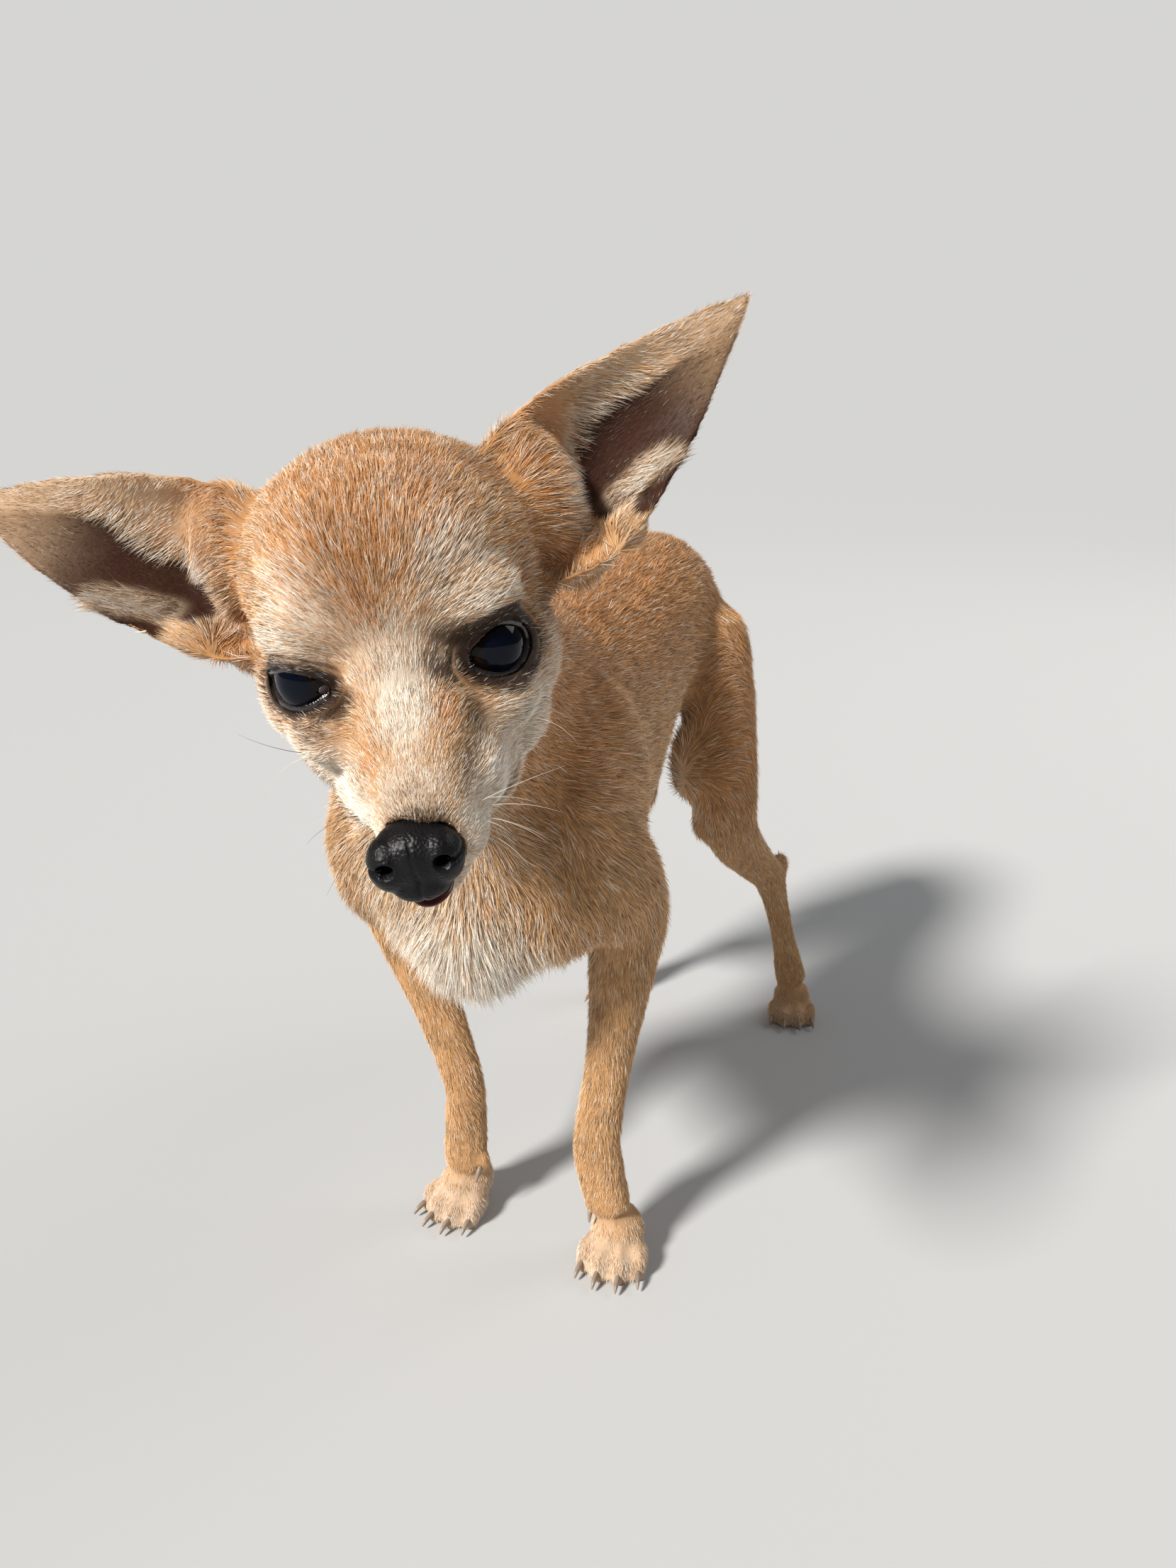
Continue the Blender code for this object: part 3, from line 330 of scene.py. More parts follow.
PATCHES = (
    Patch(Mark.RED, Place.HEAD, (-0.002, 0.012, 0.034), (0.027, 0.030, 0.023), 0.80, 0.5),
    Patch(Mark.RED, Place.HEAD, (-0.0030, -0.006, 0.0175), (0.0040, 0.010, 0.0110), 0.95, 0.6),
    Patch(Mark.RED, Place.HEAD, (0.034, 0.030, 0.010), (0.013, 0.026, 0.030), 0.65, 0.5, True),
    Patch(Mark.RED, Place.HEAD, (0.039, 0.034, 0.022), (0.010, 0.012, 0.018), 0.80, 0.5, True),
    Patch(Mark.RED, Place.HEAD, (-0.0085, -0.0216, -0.0110), (0.0030, 0.0085, 0.0042), 0.80, 0.5),
    Patch(Mark.RED, Place.HEAD, (0.0101, -0.0175, -0.0055), (0.0030, 0.0080, 0.0040), 0.75, 0.5),
    Patch(Mark.RED, Place.BODY, (0.0, 0.02, 0.235), (0.05, 0.17, 0.035), 0.8, 0.5),
    Patch(Mark.RED, Place.BODY, (0.038, -0.04, 0.225), (0.03, 0.05, 0.035), 0.7, 0.5, True),
    Patch(Mark.RED, Place.BODY, (0.050, 0.15, 0.19), (0.02, 0.05, 0.06), 0.6, 0.5, True),
    Patch(Mark.PALE, Place.HEAD, (0.001, -0.016, -0.0013), (0.0062, 0.015, 0.0110), 0.85, 0.5),
    Patch(Mark.PALE, Place.HEAD, (0.001, -0.007, 0.005), (0.0120, 0.009, 0.0090), 0.55, 0.5),
    Patch(Mark.PALE, Place.HEAD, (0.0215, -0.0015, 0.0115), (0.0120, 0.0080, 0.0050), 0.62, 0.7, True),
    Patch(Mark.PALE, Place.HEAD, (-0.0190, -0.0035, 0.0140), (0.0115, 0.0100, 0.0125), 0.48, 0.5),
    Patch(Mark.PALE, Place.HEAD, (0.0170, -0.0020, 0.0190), (0.0110, 0.0090, 0.0095), 0.45, 0.5),
    Patch(Mark.PALE, Place.HEAD, (0.0215, 0.001, -0.0200), (0.0150, 0.0160, 0.0120), 0.80, 0.5, True),
    Patch(Mark.PALE, Place.HEAD, (0.0280, 0.006, -0.0080), (0.0100, 0.0100, 0.0080), 0.50, 0.5, True),
    Patch(Mark.PALE, Place.HEAD, (0.0145, -0.022, -0.0235), (0.0080, 0.024, 0.0100), 0.85, 0.45, True),
    Patch(Mark.PALE, Place.HEAD, (0.0, -0.0335, -0.0130), (0.0085, 0.0075, 0.0055), 0.70, 0.6),
    Patch(Mark.PALE, Place.HEAD, (0.0450, 0.0330, 0.0225), (0.0040, 0.0080, 0.0110), 0.60, 0.6),
    Patch(Mark.PALE, Place.HEAD, (-0.0430, 0.0300, 0.0170), (0.0040, 0.0080, 0.0110), 0.60, 0.6),
    Patch(Mark.PALE, Place.HEAD, (0.0, -0.037, -0.0300), (0.0140, 0.010, 0.0120), 0.75, 0.4),
    Patch(Mark.PALE, Place.HEAD, (0.0, -0.006, -0.046), (0.0240, 0.050, 0.0150), 0.80, 0.4),
    Patch(Mark.PALE, Place.BODY, (0.006, -0.056, 0.128), (0.034, 0.036, 0.034), 1.0, 0.4),
    Patch(Mark.PALE, Place.BODY, (0.004, -0.080, 0.175), (0.036, 0.040, 0.050), 0.42, 0.7),
    Patch(Mark.PALE, Place.BODY, (-0.020, -0.060, 0.150), (0.020, 0.040, 0.040), 0.45, 0.7),
    Patch(Mark.PALE, Place.BODY, (0.0, 0.060, 0.112), (0.030, 0.120, 0.024), 0.75, 0.5),
    Patch(Mark.PALE, Place.BODY, (0.018, 0.145, 0.135), (0.013, 0.030, 0.040), 0.65, 0.5, True),
    Patch(Mark.PALE, Place.BODY, (0.0, 0.0, 0.0), (0.10, 0.30, 0.016), 0.55, 0.6),
    Patch(Mark.DARK, Place.HEAD, (0.0, -0.0355, -0.0150), (0.0085, 0.0060, 0.0045), 0.38, 0.7),
    Patch(Mark.DARK, Place.HEAD, (0.0, -0.0395, -0.0170), (0.0100, 0.0040, 0.0030), 0.75, 0.5),
    # Partly brown hair, partly painted shade: the side of the muzzle on the head's left, turned from the light.
    Patch(Mark.DARK, Place.HEAD, (0.0125, -0.0255, -0.0135), (0.0030, 0.0140, 0.0045), 0.45, 0.7),
    Patch(Mark.DARK, Place.HEAD, (-0.0130, -0.0255, -0.0160), (0.0032, 0.0120, 0.0040), 0.25, 0.5),
    # Partly brown hair, partly painted shade: the cheek under the left eye, turned from the light.
    Patch(Mark.DARK, Place.HEAD, (0.0148, -0.0135, -0.0085), (0.0036, 0.0065, 0.0042), 0.50, 0.5),
    Patch(Mark.DARK, Place.HEAD, (0.0108, -0.0076, 0.0002), (0.0048, 0.0042, 0.0040), 0.85, 0.5),
    Patch(Mark.DARK, Place.HEAD, (-0.0145, -0.0066, -0.0040), (0.0062, 0.0042, 0.0036), 0.90, 0.6),
    Patch(Mark.DARK, Place.HEAD, (0.0150, -0.0036, 0.0054), (0.0066, 0.0046, 0.0036), 0.90, 0.6),
    Patch(Mark.DARK, Place.HEAD, (-0.0210, -0.0080, -0.0090), (0.0070, 0.0042, 0.0028), 0.50, 0.5),
    Patch(Mark.DARK, Place.HEAD, (0.0350, 0.0150, 0.0040), (0.0070, 0.0110, 0.0110), 0.25, 0.6, True),
)


@dataclass(frozen=True)
class Growth:
    """How the coat grows inside an ellipsoid: its length, the width of a tuft, its lift off the skin in degrees,
    and the tufts in a square millimetre."""

    place: Place
    centre: tuple[float, float, float]
    radii: tuple[float, float, float]
    length: float
    width: float
    lift: float
    density: float
    both: bool = False

    def weight(self, frames: Frames, points: np.ndarray) -> np.ndarray:
        """How strongly this growth rules at each point."""
        return Patch(Mark.PALE, self.place, self.centre, self.radii, 1.0, 0.3, self.both).weight(frames, points)

    def values(self) -> np.ndarray:
        """Length, width, lift and density as one row."""
        return np.array([self.length * MM, self.width * MM, self.lift, self.density / MM**2])


GROWTHS = (
    Growth(Place.BODY, (0, 0, 0), (1, 1, 1), 6.5, 0.42, 13, 1.15),
    Growth(Place.BODY, (0, 0.05, 0.04), (0.2, 0.3, 0.085), 4.2, 0.32, 10, 2.0),
    Growth(Place.BODY, (0, 0.05, 0), (0.2, 0.3, 0.034), 2.4, 0.25, 11, 3.2),
    Growth(Place.BODY, (0.008, -0.055, 0.225), (0.050, 0.055, 0.050), 6.5, 0.34, 14, 2.0),
    Growth(Place.BODY, (0.006, -0.048, 0.128), (0.034, 0.036, 0.034), 10.5, 0.40, 24, 2.0),
    Growth(Place.BODY, (-0.008, 0.222, 0.150), (0.018, 0.022, 0.070), 6.0, 0.30, 14, 3.0),
    Growth(Place.HEAD, (0, 0.028, 0.004), (0.052, 0.060, 0.052), 4.6, 0.27, 12, 4.4),
    Growth(Place.HEAD, (0, -0.010, -0.008), (0.036, 0.028, 0.028), 3.2, 0.22, 11, 7.5),
    Growth(Place.HEAD, (0.0192, 0.002, -0.001), (0.0130, 0.0120, 0.0100), 2.2, 0.18, 10, 12, True),
    Growth(Place.HEAD, (0, -0.036, -0.024), (0.017, 0.016, 0.020), 1.8, 0.17, 15, 14),
    Growth(Place.HEAD, (0.0445, 0.032, 0.021), (0.006, 0.009, 0.013), 6.0, 0.22, 22, 5.0),
    Growth(Place.HEAD, (-0.0430, 0.030, 0.016), (0.006, 0.009, 0.013), 6.0, 0.22, 22, 5.0),
)
EAR_GROWTH = Growth(Place.EARS, (0, 0, 0), (1, 1, 1), 2.8, 0.22, 8, 4.4)
EAR_FRINGE_GROWTH = Growth(Place.EARS, (0, 0, 0), (1, 1, 1), 6.0, 0.24, 16, 5.0)
EAR_HOLLOW_GROWTH = Growth(Place.EARS, (0, 0, 0), (1, 1, 1), 2.4, 0.15, 10, 2.4)


@dataclass(frozen=True)
class Lie:
    """A line along which the coat lies, from its first point to its last, and how far to the sides it rules."""

    place: Place
    points: tuple[tuple[float, float, float], ...]
    reach: float
    both: bool = False

    def pull(self, frames: Frames, points: np.ndarray) -> np.ndarray:
        """The direction that the line gives each point, longer where it rules more."""
        local = frames.local(points, self.place)
        total = np.zeros((len(points), 3))
        for side in (1, -1) if self.both else (1,):
            corners = np.array(self.points) * (side, 1, 1)
            for start, end in zip(corners, corners[1:]):
                span = end - start
                share = np.clip((local - start) @ span / (span @ span), 0, 1)
                away = np.linalg.norm(local - start - share[:, None] * span, axis=1)
                total += np.exp(-((away / self.reach) ** 2))[:, None] * span / np.linalg.norm(span)
        return frames.turned(total, self.place)


LIES = (
    Lie(Place.HEAD, ((0, -0.040, -0.014), (0, -0.020, -0.004), (0, -0.010, 0.008), (0, -0.004, 0.028)), 0.008),
    Lie(Place.HEAD, ((0, -0.004, 0.028), (0, 0.020, 0.044), (0, 0.055, 0.034), (0, 0.075, 0.0)), 0.016),
    Lie(Place.HEAD, ((0.004, -0.008, 0.006), (0.010, -0.006, 0.020), (0.024, 0.010, 0.038)), 0.008, True),
    Lie(Place.HEAD, ((0.010, -0.006, 0.006), (0.018, -0.004, 0.012), (0.030, 0.008, 0.012), (0.040, 0.030, 0.012)), 0.007, True),
    Lie(Place.HEAD, ((0.024, 0.010, 0.034), (0.036, 0.026, 0.030)), 0.010, True),
    Lie(Place.HEAD, ((0.006, -0.034, -0.022), (0.011, -0.016, -0.020), (0.018, -0.002, -0.016), (0.030, 0.016, -0.016)), 0.008, True),
    Lie(Place.HEAD, ((0.009, -0.010, -0.006), (0.014, -0.004, -0.010), (0.024, 0.002, -0.014), (0.034, 0.020, -0.008)), 0.005, True),
    Lie(Place.HEAD, ((0.030, 0.016, -0.014), (0.030, 0.050, -0.022)), 0.012, True),
    Lie(Place.HEAD, ((0, -0.034, -0.040), (0, 0.050, -0.046)), 0.012),
    Lie(Place.HEAD, ((0.036, 0.026, 0.012), (0.036, 0.060, 0.0)), 0.010, True),
    Lie(Place.BODY, ((0.030, -0.070, 0.262), (0.010, -0.02, 0.245), (0, 0.03, 0.240), (0, 0.19, 0.245)), 0.022),
    Lie(Place.BODY, ((0.042, -0.080, 0.240), (0.040, -0.010, 0.195), (0.044, 0.060, 0.180), (0.040, 0.130, 0.180)), 0.022),
    Lie(Place.BODY, ((-0.015, -0.080, 0.235), (-0.034, -0.010, 0.195), (-0.044, 0.060, 0.180), (-0.040, 0.130, 0.180)), 0.022),
    Lie(Place.BODY, ((0.018, -0.100, 0.205), (0.008, -0.075, 0.165), (0.004, -0.050, 0.118)), 0.020),
    Lie(Place.BODY, ((0.0, -0.040, 0.112), (0.0, 0.060, 0.115), (0.0, 0.150, 0.165)), 0.018),
    Lie(Place.BODY, ((0.046, -0.020, 0.175), (0.048, 0.0, 0.140), (0.045, 0.008, 0.085), (0.040, 0.0, 0.035)), 0.014),
    Lie(Place.BODY, ((-0.044, -0.020, 0.175), (-0.048, 0.004, 0.138), (-0.036, 0.010, 0.085), (-0.020, 0.003, 0.035)), 0.014),
    Lie(Place.BODY, ((0.038, 0.165, 0.215), (0.044, 0.165, 0.165), (0.044, 0.155, 0.118), (0.055, 0.188, 0.079), (0.064, 0.201, 0.035)), 0.014),
    Lie(Place.BODY, ((-0.038, 0.165, 0.215), (-0.040, 0.160, 0.165), (-0.036, 0.150, 0.118), (-0.0275, 0.180, 0.078), (-0.025, 0.187, 0.035)), 0.014),
    Lie(Place.BODY, ((0.0, 0.185, 0.232), (-0.002, 0.214, 0.215), (-0.008, 0.224, 0.176), (-0.019, 0.222, 0.098)), 0.008),
    Lie(Place.BODY, ((0.044, 0.006, 0.036), (0.047, -0.018, 0.008)), 0.008),
    Lie(Place.BODY, ((-0.020, 0.010, 0.036), (-0.022, -0.014, 0.008)), 0.008),
    Lie(Place.BODY, ((0.064, 0.208, 0.036), (0.070, 0.186, 0.008)), 0.008),
    Lie(Place.BODY, ((-0.025, 0.196, 0.036), (-0.026, 0.168, 0.008)), 0.008),
)


@dataclass
class SkinFields:
    """What the coat needs to know at each point of the skin: markings, growth and lie."""

    frames: Frames

    def marks(self, points: np.ndarray, normals: np.ndarray) -> np.ndarray:
        """The markings' strengths, one column for each Mark."""
        found = np.zeros((len(points), 4))
        for patch in PATCHES:
            self._raise(found, patch.mark, patch.weight(self.frames, points))
        local = self.frames.local(points, Place.HEAD)
        for side in SIDES.values():
            eye = eye_local(local, side)
            swell = LIDS[side].swell(eye)
            front = eye[:, 2] > 0
            ring = LIDS[side].dark_ring * (1 + 0.16 * ripple(local, 0.006, 12))
            self._raise(found, Mark.DARK, smoothstep(ring, 0.3 * ring, swell) * front)
        lips = np.exp(-((mouth_height(local) / 0.0011) ** 2)) * smoothstep(0.0, -0.006, local[:, 1])
        self._raise(found, Mark.DARK, 0.75 * lips * (np.abs(local[:, 0]) < 0.02) * (np.abs(local[:, 2]) < 0.05))
        found[:, Mark.PALE.value] *= 1 - 0.85 * found[:, Mark.DARK.value]
        for name in SIDES:
            self._mark_ear(found, EarView.read(self.frames, points, normals, name))
        return np.clip(found, 0, 1)

    @staticmethod
    def _raise(found: np.ndarray, mark: Mark, values: np.ndarray) -> None:
        """Brings a marking up to these values where it is weaker."""
        column = found[:, mark.value]
        np.maximum(column, values, out=column)

    @staticmethod
    def _mark_ear(found: np.ndarray, ear: EarView) -> None:
        """Marks an ear: tan behind, brown skin in its hollow with painted shade deepening towards the base, pale
        fringe, tuft and rim, and a pocket painted dark as shade.
        """
        rim = smoothstep(0.20, 0.05, np.abs(ear.facing)) * smoothstep(0.15, 0.35, ear.share)
        band = ear.band * ear.inside
        pale = np.maximum(band * (0.08 + 0.27 * smoothstep(0.18, 0.38, ear.share)), 0.65 * rim)
        pale = np.maximum(pale, np.maximum(0.70 * ear.fringe, 0.88 * ear.tuft))
        # Painted shade: the DARK and BARE marks of the hollow rise towards the ear's base and fill the pocket, where
        # shade falls in these recesses, over the hollow's own brown skin.
        deep_painted_shade = smoothstep(0.95, 0.45, ear.share)
        for mark, value in (
            (Mark.PALE, np.maximum(pale, 0.10) * (1 - ear.pocket)),
            (Mark.RED, 0.45 * (1 - ear.inside) + 0.75 * band * smoothstep(0.34, 0.14, ear.share)),
            (Mark.DARK, np.maximum(ear.hollow * (0.30 + 0.50 * deep_painted_shade), 0.9 * ear.pocket)),
            (Mark.BARE, np.maximum(ear.hollow * (0.15 + 0.80 * smoothstep(0.72, 0.42, ear.share)), 0.8 * ear.pocket)),
        ):
            column = found[:, mark.value]
            column[:] = column * (1 - ear.mask) + value * ear.mask

    def lid_rims(self, points: np.ndarray) -> np.ndarray:
        """1 on the dark naked rims of the lids, 0 away from them."""
        eyes = [eye_local(self.frames.local(points, Place.HEAD), side) for side in SIDES.values()]
        rims = [smoothstep(0.0020, 0.0008, LIDS[side].swell(eye)) * (eye[:, 2] > 0) for side, eye in zip(SIDES.values(), eyes)]
        return np.maximum(*rims)

    def growth(self, points: np.ndarray, normals: np.ndarray) -> np.ndarray:
        """Length, width, lift and density of the coat, one row for each point."""
        found = np.tile(GROWTHS[0].values(), (len(points), 1))
        for growth in GROWTHS[1:]:
            weight = growth.weight(self.frames, points)[:, None]
            found = found * (1 - weight) + growth.values() * weight
        for name in SIDES:
            ear = EarView.read(self.frames, points, normals, name)
            fringe = np.maximum(ear.fringe, ear.tuft)
            for growth, share in ((EAR_GROWTH, 1), (EAR_HOLLOW_GROWTH, ear.hollow), (EAR_FRINGE_GROWTH, fringe)):
                weight = (ear.mask * share)[:, None]
                found = found * (1 - weight) + growth.values() * weight
        return found

    def lie(self, points: np.ndarray, normals: np.ndarray) -> np.ndarray:
        """The direction in which the coat lies, flat on the skin."""
        total = np.tile(np.array([0.0, 0.02, -0.015]), (len(points), 1))
        for line in LIES:
            total += line.pull(self.frames, points)
        for name, side in SIDES.items():
            ear = EarView.read(self.frames, points, normals, name)
            axis, face = EAR_AXIS[name].normalized(), EAR_FACE[name]
            inward = axis.cross(face).normalized() * side
            lean = ear.inside * (1.6 * ear.band * smoothstep(0.75, 0.30, ear.share) + 0.7 * ear.tuft)
            way = np.array(axis) + np.array(inward) * lean[:, None]
            total = total * (1 - ear.mask[:, None]) + self.frames.turned(way, Place.HEAD) * ear.mask[:, None]
        flat = total - normals * np.sum(total * normals, axis=1, keepdims=True)
        return unit(flat)


def read_points(obj: bpy.types.Object) -> np.ndarray:
    """The object's vertices, one row each."""
    flat = np.empty(len(obj.data.vertices) * 3, np.float32)
    obj.data.vertices.foreach_get("co", flat)
    return flat.reshape(-1, 3).astype(float)


def read_normals(obj: bpy.types.Object) -> np.ndarray:
    """The object's vertex normals, one row each."""
    flat = np.empty(len(obj.data.vertices) * 3, np.float32)
    obj.data.vertex_normals.foreach_get("vector", flat)
    return flat.reshape(-1, 3).astype(float)


def write_points(obj: bpy.types.Object, points: np.ndarray) -> None:
    """Moves the object's vertices to these places."""
    obj.data.vertices.foreach_set("co", points.astype(np.float32).ravel())
    obj.data.update()


def write_attribute(mesh: bpy.types.Mesh, name: str, values: np.ndarray) -> None:
    """Stores four numbers for each vertex under this name."""
    attribute = mesh.attributes.new(name, "FLOAT_COLOR", "POINT")
    attribute.data.foreach_set("color", values.astype(np.float32).ravel())


def new_piece(name: str, mesh: bpy.types.Mesh, finish: bpy.types.Material, replaces: tuple[str, ...] = ()) -> bpy.types.Object:
    """Puts a finished mesh in the scene as a piece of the dog.

    Args:
        name: The piece's name.
        mesh: Its mesh, in place.
        finish: Its material.
        replaces: The CAD nodes that it stands for.

    Returns:
        The new object.
    """
    obj = bpy.data.objects.new(name, mesh)
    bpy.context.scene.collection.objects.link(obj)
    mesh.materials.clear()
    mesh.materials.append(finish)
    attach(obj, "root")
    if replaces:
        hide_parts(*replaces)
    LOG.info("%s: %d faces", name, len(mesh.polygons))
    return obj


def bake_modifiers(obj: bpy.types.Object) -> None:
    """Makes the evaluated mesh the object's own."""
    bpy.context.view_layer.update()
    graph = bpy.context.evaluated_depsgraph_get()
    mesh = bpy.data.meshes.new_from_object(obj.evaluated_get(graph))
    obj.modifiers.clear()
    obj.data = mesh


def weigh(obj: bpy.types.Object, name: str, weights: np.ndarray) -> str:
    """Gives each vertex a weight in a vertex group and returns the group's name."""
    group = obj.vertex_groups.new(name=name)
    steps = np.round(weights * 10).astype(int)
    for step in range(1, 11):
        chosen = np.flatnonzero(steps == step)
        if len(chosen):
            group.add(chosen.tolist(), step / 10, "REPLACE")
    return group.name


def shade_smooth(mesh: bpy.types.Mesh) -> None:
    """Smooth shading on every face."""
    mesh.polygons.foreach_set("use_smooth", [True] * len(mesh.polygons))


def sweep(bm: bmesh.types.BMesh, path: list[Vector], radii: list[float], sides: int, closed: bool = False) -> None:
    """A round tube along a path, closed at its ends or on itself.

    Args:
        bm: The mesh that it is added to.
        path: The middle of each ring.
        radii: The radius of each ring.
        sides: How many corners a ring has.
        closed: Whether the last ring meets the first.
    """
    rings = []
    count = len(path)
    for i, (point, radius) in enumerate(zip(path, radii)):
        ahead = path[(i + 1) % count] if closed or i < count - 1 else point
        behind = path[i - 1] if closed or i else point
        turn = (ahead - behind).to_track_quat("Z", "Y").to_matrix().to_4x4()
        ring = bmesh.ops.create_circle(bm, segments=sides, radius=radius, matrix=Matrix.Translation(point) @ turn)
        rings.append(list(dict.fromkeys(edge for vert in ring["verts"] for edge in vert.link_edges)))
    for one, two in zip(rings, rings[1:] + ([rings[0]] if closed else [])):
        bmesh.ops.bridge_loops(bm, edges=one + two)
    if not closed:
        for end in (rings[0], rings[-1]):
            bmesh.ops.edgeloop_fill(bm, edges=end)


# Materials


class Nodes:
    """A small helper that adds nodes to a tree and links them."""

    def __init__(self, tree: bpy.types.NodeTree) -> None:
        """Starts on an empty or new tree."""
        self.tree = tree

    def add(self, kind: str, **values: object) -> bpy.types.Node:
        """A new node with these properties set."""
        node = self.tree.nodes.new(kind)
        for name, value in values.items():
            setattr(node, name, value)
        return node

    def link(self, output: bpy.types.NodeSocket, node: bpy.types.Node, socket: str | int) -> None:
        """Joins an output to a node's input."""
        self.tree.links.new(output, node.inputs[socket])

    def mix(self, factor: bpy.types.NodeSocket, one: object, two: object) -> bpy.types.NodeSocket:
        """Mixes two colours, each a socket or a constant, by a factor."""
        node = self.add("ShaderNodeMix", data_type="RGBA")
        self.link(factor, node, 0)
        for socket, value in ((6, one), (7, two)):
            if isinstance(value, tuple):
                node.inputs[socket].default_value = (*value, 1.0)
            else:
                self.link(value, node, socket)
        return node.outputs[2]

    def sum(self, operation: str, one: object, two: object) -> bpy.types.NodeSocket:
        """A Math node on two values, each a socket or a number."""
        node = self.add("ShaderNodeMath", operation=operation)
        for socket, value in ((0, one), (1, two)):
            if isinstance(value, (int, float)):
                node.inputs[socket].default_value = value
            else:
                self.link(value, node, socket)
        return node.outputs[0]

    def line(self, value: bpy.types.NodeSocket, slope: float, base: float) -> bpy.types.NodeSocket:
        """The value times slope, plus base."""
        output = self.sum("MULTIPLY_ADD", value, slope)
        output.node.inputs[2].default_value = base
        return output


@dataclass(frozen=True)
class CoatColours:
    """The colours of the coat and of the skin under it, as linear red, green and blue."""

    tan: tuple[float, float, float] = (0.70, 0.445, 0.230)
    red: tuple[float, float, float] = (0.64, 0.320, 0.125)
    pale: tuple[float, float, float] = (0.94, 0.89, 0.81)
    dark: tuple[float, float, float] = (0.055, 0.034, 0.026)
    bare: tuple[float, float, float] = (0.062, 0.024, 0.017)
    # root: painted shade that darkens each hair towards the skin, and the skin between the hairs; tip: lighter hair
    # ends, partly real pale tips and partly painted highlight.
    root: tuple[float, float, float] = (0.50, 0.41, 0.34)
    tip: tuple[float, float, float] = (1.12, 1.10, 1.06)
    lightest: tuple[float, float, float] = (0.94, 0.91, 0.86)

    def group(self) -> bpy.types.NodeTree:
        """Builds the shader group that turns markings into colour, for the skin and the coat alike."""
        made = bpy.data.node_groups.get("coat_colours")
        if made:
            return made
        made = bpy.data.node_groups.new("coat_colours", "ShaderNodeTree")
        made.interface.new_socket("Marks", in_out="INPUT", socket_type="NodeSocketColor")
        for name in ("Bare", "Chance", "Along"):
            made.interface.new_socket(name, in_out="INPUT", socket_type="NodeSocketFloat")
        made.interface.new_socket("Color", in_out="OUTPUT", socket_type="NodeSocketColor")
        nodes = Nodes(made)
        given = nodes.add("NodeGroupInput")
        out = nodes.add("NodeGroupOutput")
        split = nodes.add("ShaderNodeSeparateColor")
        nodes.link(given.outputs["Marks"], split, 0)
        colour = nodes.mix(split.outputs[2], self.tan, self.red)
        colour = nodes.mix(split.outputs[1], colour, self.dark)
        colour = nodes.mix(split.outputs[0], colour, self.pale)
        colour = nodes.mix(given.outputs["Bare"], colour, self.bare)
        # Painted shade at the hair roots, lightening to the tips, which are partly painted highlight.
        root_shade_and_tip_light = nodes.mix(given.outputs["Along"], self.root, self.tip)
        place = nodes.add("ShaderNodeTexCoord")
        noise = nodes.add("ShaderNodeTexNoise")
        noise.inputs["Scale"].default_value = 90.0
        noise.inputs["Detail"].default_value = 2.0
        nodes.link(place.outputs["Object"], noise, "Vector")
        light = nodes.sum("MULTIPLY", nodes.line(noise.outputs[0], 0.40, 0.80), nodes.line(given.outputs["Chance"], 0.70, 0.70))
        tinted = nodes.add("ShaderNodeVectorMath", operation="MULTIPLY")
        nodes.link(colour, tinted, 0)
        nodes.link(root_shade_and_tip_light, tinted, 1)
        shade = nodes.add("ShaderNodeVectorMath", operation="SCALE")
        nodes.link(tinted.outputs[0], shade, 0)
        nodes.link(light, shade, "Scale")
        least = nodes.add("ShaderNodeVectorMath", operation="MINIMUM")
        nodes.link(shade.outputs[0], least, 0)
        least.inputs[1].default_value = self.lightest
        nodes.link(least.outputs[0], out, 0)
        return made


@dataclass(frozen=True)
class FurFinish:
    """Short hair: soft, a little glossy along the strands."""

    name: str = "coat"
    roughness: float = 0.48
    sheen: float = 0.03
    specular: float = 0.30

    def build(self, along: bool) -> bpy.types.Material:
        """Makes the material, for tufts where along is set, or for the skin under them."""
        made = bpy.data.materials.new(self.name)
        made.use_nodes = True
        nodes = Nodes(made.node_tree)
        shader = made.node_tree.nodes["Principled BSDF"]
        shader.inputs["Roughness"].default_value = self.roughness
        shader.inputs["Sheen Weight"].default_value = self.sheen
        shader.inputs["Specular IOR Level"].default_value = self.specular
        marks = nodes.add("ShaderNodeAttribute", attribute_name="marks")
        strand = nodes.add("ShaderNodeAttribute", attribute_name="strand")
        split = nodes.add("ShaderNodeSeparateColor")
        nodes.link(strand.outputs["Color"], split, 0)
        group = nodes.add("ShaderNodeGroup", node_tree=CoatColours().group())
        nodes.link(marks.outputs["Color"], group, "Marks")
        nodes.link(marks.outputs["Alpha"], group, "Bare")
        nodes.link(split.outputs[0], group, "Along")
        nodes.link(split.outputs[1], group, "Chance")
        nodes.link(group.outputs[0], shader, "Base Color")
        if not along:
            self._ruffle(nodes, shader)
        return made

    def _ruffle(self, nodes: Nodes, shader: bpy.types.Node) -> None:
        """Gives the skin the fine relief of hair lying close."""
        place = nodes.add("ShaderNodeTexCoord")
        noise = nodes.add("ShaderNodeTexNoise")
        noise.inputs["Scale"].default_value = 900.0
        noise.inputs["Detail"].default_value = 3.0
        nodes.link(place.outputs["Object"], noise, "Vector")
        bump = nodes.add("ShaderNodeBump")
        bump.inputs["Distance"].default_value = 0.0004
        bump.inputs["Strength"].default_value = 0.5
        nodes.link(noise.outputs[0], bump, "Height")
        nodes.link(bump.outputs[0], shader, "Normal")


